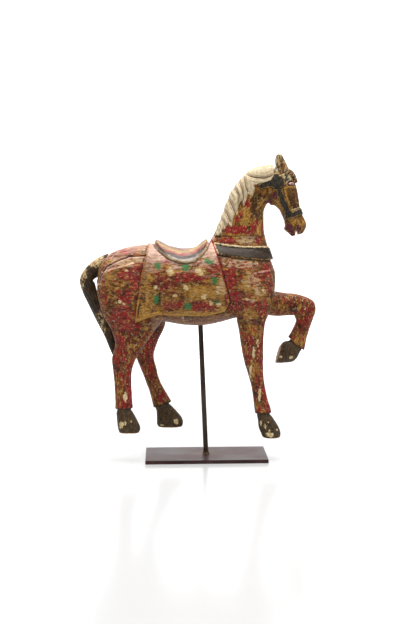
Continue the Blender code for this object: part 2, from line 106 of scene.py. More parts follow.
def maths(tree, operation, *values):
    """The result of one maths node on numbers or sockets."""
    return put(tree, "ShaderNodeMath", dict(enumerate(values)), operation=operation).outputs[0]


def layer(tree, under, over, share):
    """One colour laid over another by a share."""
    mix = tree.nodes.new("ShaderNodeMix")
    mix.data_type = "RGBA"
    for place, value in ((0, share), (6, under), (7, over)):
        if isinstance(value, bpy.types.NodeSocket):
            tree.links.new(value, mix.inputs[place])
        else:
            mix.inputs[place].default_value = value
    return mix.outputs[2]


def start_finish(name, metallic, specular=0.5):
    """A named material with its constants set on the shader, its node tree and its shader."""
    material = bpy.data.materials.new(name)
    material.use_nodes = True
    shader = material.node_tree.nodes["Principled BSDF"]
    shader.inputs["Metallic"].default_value = metallic
    shader.inputs["Specular IOR Level"].default_value = specular
    return material, material.node_tree, shader


def dark_steel(name, dark, pale, long, tilt, smear=None):
    """Waxed mill steel: drawn-out streaks, cloudy sheen, and rust round a point if one is given."""
    material, tree, shader = start_finish(name, 0.75)
    streaks = grain_noise(tree, 0.0012, long, tilt, 0.3)
    clouds = grain_noise(tree, 0.03, 2.0, tilt, 0.7)
    colour = layer(tree, paint(dark), paint(pale), between(tree, clouds, 0.3, 0.72))
    colour = layer(tree, colour, paint(dark), between(tree, streaks, 0.5, 0.75, 0.0, 0.45))
    specks = grain_noise(tree, 0.0016, 1.0, 0.0, 0.9, 5.0)
    rusty = between(tree, specks, 0.62, 0.72, 0.0, 0.5)
    if smear:
        place = put(tree, "ShaderNodeTexCoord", {}).outputs["Object"]
        oval = put(tree, "ShaderNodeMapping", {
            "Vector": place, "Location": smear, "Scale": (SMEAR_LENGTH, SMEAR_WIDTH, 1.0),
        }, vector_type="TEXTURE").outputs["Vector"]
        away = put(tree, "ShaderNodeVectorMath", {0: oval}, operation="LENGTH").outputs["Value"]
        stain = between(tree, maths(tree, "SUBTRACT", clouds, away), -0.5, 0.25, 0.0, 0.85)
        colour = layer(tree, colour, paint(RUST), stain)
    colour = layer(tree, colour, paint(RUST), rusty)
    tree.links.new(colour, shader.inputs["Base Color"])
    tree.links.new(between(tree, clouds, 0.3, 0.7, 0.34, 0.5), shader.inputs["Roughness"])
    bump = put(tree, "ShaderNodeBump", {"Height": streaks, "Strength": 0.12, "Distance": 0.0002})
    tree.links.new(bump.outputs["Normal"], shader.inputs["Normal"])
    return material


def refinish(node, material):
    """Gives a CAD node its real finish."""
    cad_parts[node].data.materials.clear()
    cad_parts[node].data.materials.append(material)


_, plate_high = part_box("base_plate")
rod_low, rod_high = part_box("rod")
rod_radius = (rod_high.y - rod_low.y) / 2
rod_foot = Vector((rod_high.x - rod_radius, 0.0, rod_low.z))
rod_top = Vector((rod_low.x + rod_radius, 0.0, rod_high.z))
rod_lean = (rod_top.x - rod_foot.x) / (rod_top.z - rod_foot.z)
refinish("base_plate", dark_steel("waxed_plate_steel", STEEL_DARK, STEEL_PALE, 40.0, 0.0, rod_foot))
refinish("rod", dark_steel("waxed_rod_steel", ROD_DARK, ROD_PALE, 12.0, pi / 2))

# The weld: a lumpy bead of steel laid round the rod's foot by hand, with a few drips that run
# out on the plate. It is rough, brown and slightly rusty.
WELD_AROUND = 160
WELD_UP = 40
WELD_LUMPS = 9
WELD_LUMP_SHARE = 0.10
WELD_DRIP_SHARE = 0.16
SHARP_EDGE = radians(60)


def closed_surface(name, grid):
    """A mesh from a grid of points that closes on itself both across and along."""
    rows, sides, _ = grid.shape
    lower = np.arange(rows * sides).reshape(rows, sides)
    upper = np.roll(lower, -1, axis=0)
    quads = np.stack([lower, np.roll(lower, -1, 1), np.roll(upper, -1, 1), upper], axis=-1)
    mesh = bpy.data.meshes.new(name)
    mesh.from_pydata(grid.reshape(-1, 3).tolist(), [], quads.reshape(-1, 4).tolist())
    mesh.update()
    return mesh


def weld_grid():
    """Points of the bead: its profile is a hollow quarter curve from rim to rod, closed along
    the rod; its radius swells by waves round the rod, most of all at the foot."""
    low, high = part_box("weld")
    inner = rod_radius + (low.z - plate_high.z)
    rim = (high.y - low.y) / 2
    turn = np.linspace(0, 2 * pi, WELD_AROUND, endpoint=False)[None, :]
    up = np.linspace(0, 1, WELD_UP)[:, None]
    angle = up * pi / 2
    waves = np.sin(turn * WELD_LUMPS + 3 * up) * 0.5 + np.sin(turn * 5 + 1.7) * 0.5
    drips = np.maximum(np.sin(turn * 3 + 0.4), 0) ** 3 * (1 - up) ** 2
    swell = -WELD_LUMP_SHARE * (1 - waves) * (1 - up * 0.6)
    swell -= WELD_DRIP_SHARE * (1 - drips) * (1 - up)
    radius = inner + (rim - inner) * np.clip(1 - np.sin(angle) + swell * (1 - up), 0.02, 1)
    height = low.z + (high.z - low.z) * (1 - np.cos(angle)) * (1 + 0.06 * waves * up * (1 - up))
    radius = np.vstack([radius, np.full_like(turn, inner), np.full_like(turn, inner)])
    height = np.vstack([height + 0 * turn, np.full_like(turn, high.z), np.full_like(turn, low.z)])
    middle = rod_foot.x + rod_lean * (height - rod_foot.z)
    return np.stack([middle + radius * np.cos(turn), radius * np.sin(turn), height], axis=-1)


def show(name, mesh, material, node):
    """A finished piece that stands for its CAD node and moves with the part."""
    mesh.materials.clear()
    mesh.materials.append(material)
    mesh.shade_smooth()
    mesh.set_sharp_from_angle(angle=SHARP_EDGE)
    piece = bpy.data.objects.new(name, mesh)
    bpy.context.scene.collection.objects.link(piece)
    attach(piece, "root")
    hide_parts(node)


show("weld_bead", closed_surface("weld_bead", weld_grid()),
     dark_steel("rusty_weld_steel", "#2E251F", "#6B5540", 1.0, 0.0, rod_foot), "weld")

# The body: one block of wood with the grain along it, carved with a saddle, a saddle blanket, a
# chest strap and the haunch lines, then painted ochre, red, green and black and rubbed back.
# It has saw-cut faces where the neck, legs and tail are glued on, and a hole for the rod.
FIGURE_LEVEL = 0.030
ROD_SEAT = (-9, 185)
UNIT = 0.001
RING_SIDES = 72
RINGS_PER_SPAN = 8
SQUARENESS = 2.4
BODY_GRAIN = 1.05
BODY_SMOOTHING = 46
FIT_GAP = 0.3
LATTICE = 64
LEVEL_GRAIN = (6.0, 2.4, 2.4)
UPRIGHT_GRAIN = (2.4, 2.4, 6.0)
TORSO = [
    ((-178, 270), (-175, 247), 9), ((-169, 291.5), (-169, 232), 24), ((-152, 304), (-152, 212), 34),
    ((-133, 311), (-134, 196), 39), ((-107, 316), (-108, 192), 41), ((-85, 316), (-85, 193), 42),
    ((-62, 311), (-62, 190.5), 42), ((-40, 306.5), (-42, 187), 42), ((-18, 308), (-18, 185), 42),
    ((4, 318), (2, 186), 42), ((23, 319), (23, 190.5), 42), ((55, 319), (56, 199), 41),
    ((82, 315), (82, 205), 37), ((100, 303), (101.5, 219), 28), ((112, 275), (112, 239), 13),
]
NECK = [
    ((8, 303), (108, 293), 26), ((9, 323), (100, 316), 24), ((17, 337), (95, 335), 22),
    ((21.5, 350), (94, 347), 21), ((26, 362), (94, 358), 20), ((33, 381), (94, 371), 18),
    ((41.5, 401), (98, 381), 17), ((52.5, 417), (100, 383), 16), ((68, 433), (104, 384), 16),
    ((86, 441), (109, 384), 16), ((106, 444), (115, 384), 16),
]
RIGHT_HIND = [
    ((-168, 274), (-113, 290), 14), ((-175, 246), (-97, 249), 20), ((-170, 217), (-81, 223), 20),
    ((-164, 201), (-70, 202), 19), ((-153, 181), (-83, 181), 17), ((-147, 158), (-99, 158), 14),
    ((-152.5, 136), (-115, 132), 11.5), ((-151, 115), (-121, 113), 10),
    ((-149, 93), (-122, 93), 9.5), ((-148, 74), (-121, 73), 9.5), ((-148, 53), (-120, 54), 10.5),
]
LEFT_HIND = [
    ((-168, 274), (-113, 290), 14), ((-173, 246), (-97, 249), 20), ((-156, 219), (-78, 225), 20),
    ((-133, 188), (-66, 189), 17), ((-124, 154), (-79.5, 154), 14), ((-116, 130), (-86, 131), 11.5),
    ((-107, 107), (-82, 111), 10), ((-99, 86), (-76.5, 90), 9.5), ((-92, 66), (-67.5, 72), 9.5),
    ((-87, 43), (-57, 53), 10.5),
]
RIGHT_FORE = [
    ((54, 269), (103, 277), 14), ((47, 236), (109, 244), 20), ((47, 209), (103, 212), 19),
    ((49, 194), (96, 194), 17.5), ((52.5, 176), (93, 176), 16), ((56, 153), (92, 155), 14),
    ((61, 129), (92, 130), 12.5), ((67.5, 107), (92.5, 109), 11), ((73, 87), (94.5, 89), 10.5),
    ((76, 68), (99, 69), 10), ((79, 43), (106.5, 44), 11),
]
LEFT_SHOULDER = [
    ((54, 269), (103, 277), 14), ((48, 238), (108, 245), 19), ((56, 210), (104, 212), 17),
]
LEFT_FORE = [
    ((82, 242), (82, 202), 16), ((94, 241), (94, 200), 18), ((117, 238), (118, 197), 17),
    ((137, 235), (138, 198), 16), ((156, 232.5), (148, 198), 15), ((179.5, 222), (149, 195), 14.5),
    ((183.5, 205.5), (151, 190), 14), ((178, 188), (149, 182), 13), ((172, 170), (144, 172), 12),
    ((165, 139), (138, 162), 11),
]
TAIL_ROOT = ((-158, 303), (-174, 266))
TAIL_SEAT = (24.6, 30, 24)
HEAD_CUT = 331
FORE_CUT = 192
HIND_CUT = 181
RAISED_CUT = 116.5
SAW_CUTS = [
    ((-5, -60, HEAD_CUT), (200, 60, 500)),
    ((40, -60, -10), (140, -3, FORE_CUT)),
    ((RAISED_CUT, 2, 100), (200, 60, 250)),
    ((-190, -60, -10), (-60, -6, HIND_CUT)),
    ((-190, 6, -10), (-20, 60, HIND_CUT)),
]
SOCKET_DEPTH = 35

BLANKET = [
    (-92, 330), (-97, 301), (-105, 266), (-111, 225), (-114, 195), (-104, 199), (-80, 207),
    (-46, 205), (-2, 204), (29, 211), (36, 227), (27, 264), (13, 315), (15, 345), (-92, 345),
]
SADDLE = [
    (-88, 345), (-87, 323), (-82, 313), (-71, 303), (-59, 294), (-45, 289), (-31, 288), (-19, 291),
    (-9, 299), (0, 310), (6, 322), (12, 331), (13, 345),
]
SEAT_TOP = [(-84, 327), (-62, 315), (-45, 311), (-28, 312), (-10, 320), (5, 331)]
CHEST_STRAP = [
    (10, 321), (30, 318), (58, 315), (96, 314), (125, 312), (125, 293), (89, 293), (58, 296),
    (18, 302),
]
HAUNCH_CUT = [(-97, 300), (-123, 299), (-144, 291), (-160, 282), (-168, 270), (-171, 257)]
HAUNCH_SLOPE = [(-171, 257), (-160, 282), (-144, 291), (-123, 299), (-97, 300)]
HEM_CLEFT = [(-106, 226), (-109, 217), (-110, 206)]
FRONT_LINE = [(10, 323), (27, 264), (32, 245)]
SEAT_ENDS = (-88, 13)
SEAT_END_REACH = 26
SEAT_END_RISE = 7.0
BLANKET_RISE = 2.3
SADDLE_RISE = 2.4
STRAP_RISE = 2.2
EDGE_CUT_DEPTH = 1.1
HAUNCH_CUT_DEPTH = 2.4
HEM_CLEFT_DEPTH = 2.0


def through_stations(stations):
    """Rows (x1, z1, x2, z2, half width) on a smooth cubic curve through the stations."""
    rows = np.array([(*first, *second, half) for first, second, half in stations], float)
    ends = np.vstack([2 * rows[0] - rows[1], rows, 2 * rows[-1] - rows[-2]])
    share = (np.arange(RINGS_PER_SPAN) / RINGS_PER_SPAN)[None, :, None]
    before, start, end, after = (ends[step:len(rows) - 1 + step, None] for step in range(4))
    bend = (2 * before - 5 * start + 4 * end - after) * share ** 2
    twist = (3 * start - before - 3 * end + after) * share ** 3
    curve = (2 * start + (end - before) * share + bend + twist) / 2
    return np.vstack([curve.reshape(-1, 5), rows[-1]])


def limb(stations, middle=0.0):
    """A grid of rings: each ring is an oval, slightly squared, on its station's chord."""
    x1, z1, x2, z2, half = through_stations(stations).T[:, :, None]
    turn = np.linspace(0, 2 * pi, RING_SIDES, endpoint=False)[None, :]
    along = np.sign(np.cos(turn)) * np.abs(np.cos(turn)) ** (2 / SQUARENESS)
    across = np.sign(np.sin(turn)) * np.abs(np.sin(turn)) ** (2 / SQUARENESS)
    x = (x1 + x2) / 2 + along * (x1 - x2) / 2
    z = (z1 + z2) / 2 + along * (z1 - z2) / 2
    return np.stack([x, middle + across * half, z], axis=-1)


def closed_limbs(name, grids):
    """One mesh of several ring grids, each closed by its first and last ring."""
    points = []
    faces = []
    for grid in grids:
        rows, sides, _ = grid.shape
        index = np.arange(rows * sides).reshape(rows, sides) + sum(len(part) for part in points)
        turned = np.roll(index, -1, axis=1)
        quads = np.stack([index[:-1], turned[:-1], turned[1:], index[1:]], axis=-1)
        faces += quads.reshape(-1, 4).tolist() + [index[0, ::-1].tolist(), index[-1].tolist()]
        points.append(grid.reshape(-1, 3))
    mesh = bpy.data.meshes.new(name)
    mesh.from_pydata(np.vstack(points).tolist(), [], faces)
    mesh.update()
    return mesh


def with_modifier(mesh, kind, **settings):
    """The mesh after one modifier."""
    holder = bpy.data.objects.new("holder", mesh)
    bpy.context.scene.collection.objects.link(holder)
    modifier = holder.modifiers.new(kind, kind)
    for name, value in settings.items():
        setattr(modifier, name, value)
    finished = holder.evaluated_get(bpy.context.evaluated_depsgraph_get())
    result = bpy.data.meshes.new_from_object(finished)
    bpy.data.objects.remove(holder)
    return result


def points_of(mesh, what="co"):
    """The mesh's points, or their normals, as rows."""
    flat = np.empty(len(mesh.vertices) * 3, np.float32)
    mesh.vertices.foreach_get(what, flat)
    return flat.reshape(-1, 3).astype(float)


def move_points(mesh, points):
    """Puts rows of points back into the mesh."""
    mesh.vertices.foreach_set("co", points.astype(np.float32).ravel())
    mesh.update()


def fused(name, grids, grain, rounds):
    """The limbs as one even skin, smoothed by drawing points to their neighbours and back."""
    mesh = with_modifier(closed_limbs(name, grids), "REMESH", mode="VOXEL", voxel_size=grain)
    points = points_of(mesh)
    edges = np.empty(len(mesh.edges) * 2, np.int32)
    mesh.edges.foreach_get("vertices", edges)
    starts, ends = edges.reshape(-1, 2).T
    total = len(points)
    neighbours = np.bincount(starts, minlength=total) + np.bincount(ends, minlength=total)
    for _ in range(rounds):
        for amount in (0.6, -0.618):
            middle = np.empty_like(points)
            for axis in range(3):
                middle[:, axis] = np.bincount(starts, points[ends, axis], total)
                middle[:, axis] += np.bincount(ends, points[starts, axis], total)
            points += amount * (middle / neighbours[:, None] - points)
    move_points(mesh, points)
    return mesh


def line_distance(flat, line, closed=False):
    """Distance in the side view from each point to a line of straight runs."""
    corners = np.array(line, float)
    following = np.roll(corners, -1, axis=0)
    runs = list(zip(corners, following))[:None if closed else -1]
    nearest = np.full(len(flat), np.inf)
    for start, end in runs:
        run = end - start
        share = np.clip((flat - start) @ run / (run @ run), 0, 1)
        nearest = np.minimum(nearest, np.linalg.norm(flat - start - share[:, None] * run, axis=1))
    return nearest


def outline_depth(flat, outline):
    """Distance to a closed outline in the side view, positive inside it."""
    inside = np.zeros(len(flat), bool)
    corners = np.array(outline, float)
    for (x1, z1), (x2, z2) in zip(corners, np.roll(corners, -1, axis=0)):
        if z1 != z2:
            crosses = (z1 > flat[:, 1]) != (z2 > flat[:, 1])
            inside ^= crosses & (flat[:, 0] < x1 + (flat[:, 1] - z1) * (x2 - x1) / (z2 - z1))
    return np.where(inside, 1, -1) * line_distance(flat, outline, closed=True)


def step(depth, width):
    """0 outside an edge, 1 inside it, with a smooth step of the given width."""
    share = np.clip(depth / width + 0.5, 0, 1)
    return share * share * (3 - 2 * share)


def groove(distance, width):
    """1 on a line, 0 at the given distance from it, as a knife cut."""
    return np.clip(1 - distance / width, 0, 1)


def lumps(points, size, seed):
    """Smooth noise from -1 to 1: random values on a cubic lattice, blended between its corners."""
    lattice = np.random.default_rng(seed).uniform(-1, 1, (LATTICE,) * 3)
    cell = np.floor(points / size).astype(int)
    share = points / size - cell
    share = share * share * (3 - 2 * share)
    total = np.zeros(len(points))
    for corner in np.ndindex(2, 2, 2):
        weight = np.prod(np.where(corner, share, 1 - share), axis=1)
        total += weight * lattice[tuple(((cell + corner) % LATTICE).T)]
    return total


def patches(points, ovals, middle=0.0):
    """Soft ovals in the side view, each falling off round its middle by a flat-topped bell curve.
    A row is (x, z, half length, half height, strength); the left side's are shifted a little."""
    left = points[:, 1] > middle
    x = points[:, 0] + np.where(left, 11, 0)
    z = points[:, 2] - np.where(left, 5, 0)
    field = np.zeros(len(points))
    for middle_x, middle_z, length, height, strength in ovals:
        away = ((x - middle_x) / length) ** 2 + ((z - middle_z) / height) ** 2
        field = np.maximum(field, strength * np.exp(-0.6 * away ** 2))
    return field


def knife_marks(points, along=LEVEL_GRAIN):
    """Wood surface in millimetres: soft knife facets, raised grain and small dents."""
    grain = lumps(points / np.array(along), 1.1, 3) * 0.10
    facets = lumps(points, 9.0, 5) * 0.28 + lumps(points, 4.0, 8) * 0.12
    dents = -0.45 * np.clip(lumps(points, 3.4, 13) - 0.42, 0, 1)
    return grain + facets + dents


def carve_body(points, normals):
    """Height of the body's carving along its normals, in millimetres: blanket, saddle and strap
    stand up from the wood with a cut round them, and the seat's ends turn up."""
    flat = points[:, [0, 2]]
    x, z = flat.T
    blanket_depth = outline_depth(flat, BLANKET)
    saddle_depth = outline_depth(flat, SADDLE)
    strap_depth = outline_depth(flat, CHEST_STRAP)
    blanket = step(blanket_depth, 1.5)
    saddle = step(saddle_depth, 1.5)
    strap = step(strap_depth, 1.6) * (1 - blanket)
    upward = np.clip(normals[:, 2] * 1.5, 0, 1)
    ends = sum(np.clip(1 - np.abs(x - end) / SEAT_END_REACH, 0, 1) for end in SEAT_ENDS)
    haunch = line_distance(flat, HAUNCH_CUT)
    below_haunch = np.interp(x, *np.array(HAUNCH_SLOPE, float).T) > z
    height = blanket * BLANKET_RISE + saddle * SADDLE_RISE + strap * STRAP_RISE
    height += saddle * upward * ends * SEAT_END_RISE
    height -= groove(np.abs(blanket_depth + 1.4), 1.5) * EDGE_CUT_DEPTH * (1 - saddle)
    height -= groove(np.abs(saddle_depth + 1.2), 1.3)
    height -= groove(np.abs(strap_depth + 1.3), 1.6) * EDGE_CUT_DEPTH * (1 - blanket) * (z < 312)
    height -= groove(np.abs(saddle_depth - 3.4), 0.9) * 0.35 * (z < SEAT_TOP[2][1] + 8)
    height -= groove(haunch, 2.2) * HAUNCH_CUT_DEPTH
    height += np.exp(-haunch / 9) * below_haunch
    height -= groove(line_distance(flat, HEM_CLEFT), 2.6) * HEM_CLEFT_DEPTH
    height += step(5.0 - blanket_depth, 1.6) * blanket * (x < -60) * 0.5
    return height + knife_marks(points) * (1 - 0.4 * saddle)


def carved(name, tubes, grain, rounds, carving):
    """The limbs' fused skin, raised along its normals by the carving's height."""
    mesh = fused(name, tubes, grain, rounds)
    points = points_of(mesh)
    normals = points_of(mesh, "normal")
    move_points(mesh, points + normals * carving(points, normals)[:, None])
    return mesh


def cut_away(mesh, cutter):
    """Takes a cutter's solids away from the mesh."""
    holder = bpy.data.objects.new("cutter", cutter)
    bpy.context.scene.collection.objects.link(holder)
    result = with_modifier(mesh, "BOOLEAN", operation="DIFFERENCE", object=holder, solver="EXACT")
    bpy.data.objects.remove(holder)
    return result


def prism(corners, low, high):
    """A ring grid of two rows: an outline in the side view, given anticlockwise, carried across
    from high to low, so that its faces look outward."""
    outline = np.array(corners, float)
    rows = [np.column_stack([outline[:, 0], np.full(len(outline), side), outline[:, 1]])
            for side in (high, low)]
    return np.array(rows)


def box_prism(low, high, gap=0.0):
    """A saw cut between two corners, grown all round by the gap."""
    x1, y1, z1 = np.array(low) - gap
    x2, y2, z2 = np.array(high) + gap
    return prism([(x1, z1), (x2, z1), (x2, z2), (x1, z2)], y1, y2)


def tail_seat():
    """The slanted pocket on the rump that the tail is glued in."""
    width, depth, spare = TAIL_SEAT
    (x1, z1), (x2, z2) = TAIL_ROOT
    length = hypot(x1 - x2, z1 - z2)
    along = np.array([x1 - x2, z1 - z2]) / length
    outward = np.array([-along[1], along[0]])
    middle = np.array([(x1 + x2) / 2, (z1 + z2) / 2]) - outward * FIT_GAP
    reach = along * (length + spare) / 2
    corners = [middle - reach, middle + reach]
    corners += [middle + reach + outward * depth, middle - reach + outward * depth]
    return prism(corners, -width / 2, width / 2)


def rod_hole():
    """A round hole along the leaning rod, a little wider than it, up into the belly."""
    turn = np.linspace(0, 2 * pi, 32, endpoint=False)
    radius = rod_radius / UNIT + FIT_GAP
    rings = []
    for height in (ROD_SEAT[1] - 16, ROD_SEAT[1] + SOCKET_DEPTH):
        x = ROD_SEAT[0] + rod_lean * (height - ROD_SEAT[1]) + radius * np.cos(turn)
        rings.append(np.column_stack([x, radius * np.sin(turn), np.full(len(turn), height)]))
    return np.array(rings)


def belly_place():
    """Where the figure's zero point is in the frame: the rod's axis passes ROD_SEAT."""
    level = plate_high.z + FIGURE_LEVEL
    seat_height = level + ROD_SEAT[1] * UNIT
    return np.array([
        rod_foot.x + rod_lean * (seat_height - rod_foot.z) - ROD_SEAT[0] * UNIT, 0.0, level,
    ])


def store(mesh, fields):
    """Keeps each field of the paint as a number on the mesh's points."""
    for name, values in fields.items():
        attribute = mesh.attributes.new(name, "FLOAT", "POINT")
        attribute.data.foreach_set("value", np.asarray(values, np.float32))


def set_up(mesh):
    """The figure's mesh at its real size and place in the frame."""
    move_points(mesh, points_of(mesh) * UNIT + belly_place())
    return mesh


def coat(colours, field, ragged=1.0, level=None, long=2.2, size=0.0035,
         soft=0.09, cover=1.0, thick=0.0):
    """One coat of paint: its light and dark colours, the field that it has survived in (one kept on
    the mesh, or everywhere by a level, or upward between two slopes), how ragged its edge is, how
    many times longer than wide its flakes are and how large in metres, how soft and covering it is,
    and how far it stands up."""
    return {
        "light": paint(colours[0]), "dark": paint(colours[1]), "field": field, "ragged": ragged,
        "level": level, "long": long, "size": size, "soft": soft, "cover": cover, "thick": thick,
    }


def where_kept(tree, kind, level):
    """The field of one coat: a level, the way a surface faces, or a number kept on the mesh."""
    if kind == "everywhere":
        return level
    if kind == "upward":
        facing = put(tree, "ShaderNodeNewGeometry", {}).outputs["Normal"]
        height = put(tree, "ShaderNodeSeparateXYZ", {"Vector": facing}).outputs["Z"]
        return between(tree, height, *level)
    return put(tree, "ShaderNodeAttribute", {}, attribute_name=kind).outputs["Fac"]


def painted_wood(name, tilt, ground, coats):
    """Old paint on wood: coats are laid one over the other on a ground, each where its field, made
    ragged by noise along the grain, passes one half, and each varies between its two colours. A
    very ragged coat is also kept inside its field."""
    material, tree, shader = start_finish(name, 0.0, PAINT_GLOSS)
    streaks = grain_noise(tree, STREAK_SIZE, 7.0, tilt, 0.11, 4.0, 0.6)
    light, dark = ground
    colour = layer(tree, paint(dark), paint(light), between(tree, streaks, 0.25, 0.7))
    shape = streaks
    for number, kept in enumerate(coats, 1):
        size, long, ragged, soft = (kept[name] for name in ("size", "long", "ragged", "soft"))
        flakes = grain_noise(tree, size, long, tilt, number * 0.37, 4.0, 0.6)
        flakes = between(tree, flakes, 0.34, 0.66)
        field = where_kept(tree, kept["field"], kept["level"])
        total = maths(tree, "MULTIPLY_ADD", flakes, ragged, field)
        middle = 0.5 + ragged * 0.5
        share = between(tree, total, middle - soft, middle + soft, 0.0, kept["cover"])
        if ragged > 0.8 and kept["field"] not in ("everywhere", "upward"):
            share = maths(tree, "MULTIPLY", share, between(tree, field, 0.02, 0.2))
        tint = grain_noise(tree, size * 0.6, long * 1.5, tilt, number * 0.53, 4.0, 0.65)
        over = layer(tree, kept["dark"], kept["light"], between(tree, tint, 0.35, 0.65))
        colour = layer(tree, colour, over, share)
        if kept["thick"]:
            shape = maths(tree, "MULTIPLY_ADD", share, kept["thick"], shape)
    tree.links.new(colour, shader.inputs["Base Color"])
    tree.links.new(between(tree, streaks, 0.3, 0.7, *PAINT_ROUGHNESS), shader.inputs["Roughness"])
    bump = put(tree, "ShaderNodeBump", {"Height": shape, "Strength": 0.75, "Distance": 0.0006})
    tree.links.new(bump.outputs["Normal"], shader.inputs["Normal"])
    return material


PAINT_GLOSS = 0.22
PAINT_ROUGHNESS = (0.36, 0.58)
STREAK_SIZE = 0.0022
# Each paint's light and dark colours.
OCHRE = ("#AC7430", "#6A431C")
GOLD = ("#D2A250", "#986826")
BROWN = ("#4C2F18", "#26170C")
SOOT = ("#38230F", "#1C1208")
RED = ("#B0332C", "#6C1A1C")
DARK_RED = ("#7C2826", "#431718")
CRIMSON = ("#8A2C2E", "#521A1E")
PALE = ("#D9BE94", "#AE8A66")
CREAM = ("#E6D6AE", "#C8A66A")
BLACK = ("#4A4439", "#221E19")
# Painted shade: near-black laid in cuts, grooves, gaps and under raised edges, with real grime in
# the dark glued joints.
SHADE_AND_GRIME = ("#2A1E15", "#140E0A")
GREEN = ("#3C9254", "#1F5C36")
GREY_PINK = ("#A08678", "#6E5049")
# Painted sheen: the pale pink of light on the waxed paint, not a paint of its own.
SHEEN_PINK = ("#DBB8A6", "#AE8070")

# Coats that the body, the legs and in part the head share over their ochre: gold and red left in
# patches, brown dirt and soot in the grain (on the body the dirt also stands for painted shade,
# darker towards the bottom), chips down to the cream ground, and pale rubbed places.
AGED = {
    "gold": coat(GOLD, "gold", long=1.8, size=0.008, soft=0.25, cover=0.9),
    "dark red": coat(
        DARK_RED, "everywhere", level=0.33, long=2.0, size=0.014, soft=0.28, cover=0.75),
    "brown": coat(BROWN, "everywhere", level=0.34, size=0.012, soft=0.32, cover=0.68),
    "dirt and shade": coat(BROWN, "dark", ragged=0.9, size=0.008, soft=0.28, cover=0.88),
    "gold left": coat(GOLD, "gold", ragged=0.7, long=1.6, size=0.005, soft=0.2, cover=0.7),
    "crimson": coat(CRIMSON, "red", ragged=0.6, long=2.0, size=0.009, soft=0.25, cover=0.75),
    "red": coat(RED, "red", ragged=1.1, long=1.8, size=0.004, soft=0.16, thick=0.4),
    "soot": coat(SOOT, "everywhere", level=0.22, long=3.5, size=0.0026, soft=0.14, cover=0.75),
    "gold flecks": coat(GOLD, "everywhere", level=0.06, long=1.6, size=0.0036, cover=0.85),
    "rubbed": coat(PALE, "pale", ragged=1.3, long=2.4, size=0.0034, soft=0.2, cover=0.8),
    "cream flecks": coat(CREAM, "everywhere", level=0.012, long=1.3, size=0.003, cover=0.9),
    "chips": coat(CREAM, "chips", ragged=0.9, size=0.0036),
}

BODY_RED = [
    (-131, 307, 16, 3.9, 0.9), (-160, 296, 5, 3.1, 0.8), (-128, 270, 11, 8, 0.95),
    (-111, 281, 8, 8, 0.95), (-113, 259, 8, 14, 0.75), (-133, 234, 14, 13, 0.6),
    (-135, 205, 22, 14, 0.8), (-126, 189, 22, 8, 0.9), (-164, 231, 5, 35, 0.55),
    (-75, 275, 13, 10, 0.38), (-27, 267, 25, 7, 0.8), (-67, 257, 22, 13, 0.42),
    (13, 278, 11, 13, 0.6), (-54, 222, 17, 9, 0.62), (-8, 220, 21, 8, 0.95), (-75, 291, 19, 5, 0.5),
    (-3, 288, 19, 6, 0.5), (38, 267, 10, 21, 1.0), (56, 286, 22, 6, 0.8), (81, 265, 11, 14, 0.6),
    (97, 280, 9, 11, 0.75), (101, 255, 6, 16, 0.6), (46, 235, 10, 8, 0.95), (35, 230, 6, 16, 0.8),
    (66, 225, 10, 8, 0.7), (88, 217, 8, 14, 0.85), (46, 217, 8, 6, 0.7), (35, 324, 11, 6, 1.0),
    (84, 324, 6, 5, 0.95),
]
BODY_GOLD = [
    (-141, 261, 17, 13, 0.6), (-158, 270, 8, 14, 0.5), (-138, 291, 25, 5, 0.85),
    (-164, 236, 4.0, 28, 0.5), (-116, 208, 5, 11, 0.7), (-104, 208, 11, 14, 0.95),
    (-88, 235, 10, 13, 0.9), (-78, 278, 14, 8, 0.6), (-91, 259, 6, 14, 0.5),
    (-3, 241, 32, 13, 0.85), (23, 250, 10, 20, 1.15), (14, 278, 10, 10, 0.5),
    (24, 217, 11, 10, 0.85), (-43, 208, 66, 4.5, 1.2), (-19, 232, 22, 6, 0.5),
    (45, 273, 4.0, 10, 1.0), (70, 258, 15, 15, 1.2), (82, 243, 13, 8, 1.1), (72, 231, 10, 6, 0.8),
    (69, 207, 11, 11, 0.9), (53, 246, 8, 6, 0.5), (52, 325, 10, 5, 0.6),
]
BODY_DARK = [
    (-65, 257, 27, 11, 0.75), (-17, 259, 13, 6, 0.8), (-113, 253, 8, 16, 0.6),
    (-151, 212, 10, 28, 0.9), (-132, 250, 20, 11, 0.75), (-138, 228, 30, 36, 0.6),
    (104, 262, 8, 22, 0.85), (-70, 232, 16, 6, 0.5), (54, 259, 6, 8, 0.8), (104, 240, 7, 20, 0.85),
    (46, 215, 10, 6, 0.5), (75, 196, 18, 3.2, 1.0), (-118, 227, 5, 19, 0.4),
]
BODY_PALE = [
    (-130, 289, 22, 6, 0.8), (-108, 294, 8, 6, 1.0), (61, 291, 19, 5, 0.7), (33, 289, 6, 8, 0.6),
    (-82, 300, 13, 9, 0.8), (8, 300, 8, 13, 0.8), (64, 326, 14, 6, 0.85), (83, 244, 10, 6, 0.35),
    (72, 231, 10, 4, 0.4), (23, 252, 7, 14, 0.5), (60, 284, 18, 4, 0.6), (70, 262, 11, 10, 0.65),
]
BODY_CHIPS = [
    (-138, 229, 3.2, 2.4, 0.9), (-132, 225, 2.4, 2.4, 0.9), (-127, 277, 3.2, 1.6, 1.0),
    (64, 231, 3.2, 1.9, 0.8), (88, 246, 3.2, 1.9, 0.8), (-17, 278, 1.6, 6, 0.7),
    (-38, 200, 1.6, 4.0, 0.8),
]
GREEN_DOTS = [
    (-78, 285, 5, 6), (-34, 282, 6, 6), (3, 291, 7, 5), (12, 262, 5, 6), (-81, 231, 5, 6),
    (-31, 220, 6, 6), (17, 226, 5, 2.1),
]
CREAM_DOTS = [
    (-58, 276, 5, 5), (-11, 276, 6, 6), (-33, 251, 4, 3.8), (-82, 251, 2.9, 2.9), (18, 223, 4, 2.4),
    (-5, 235, 4, 4), (-51, 238, 3.2, 2.5), (7, 225, 3.2, 3.8), (16, 243, 2.2, 1.6),
]


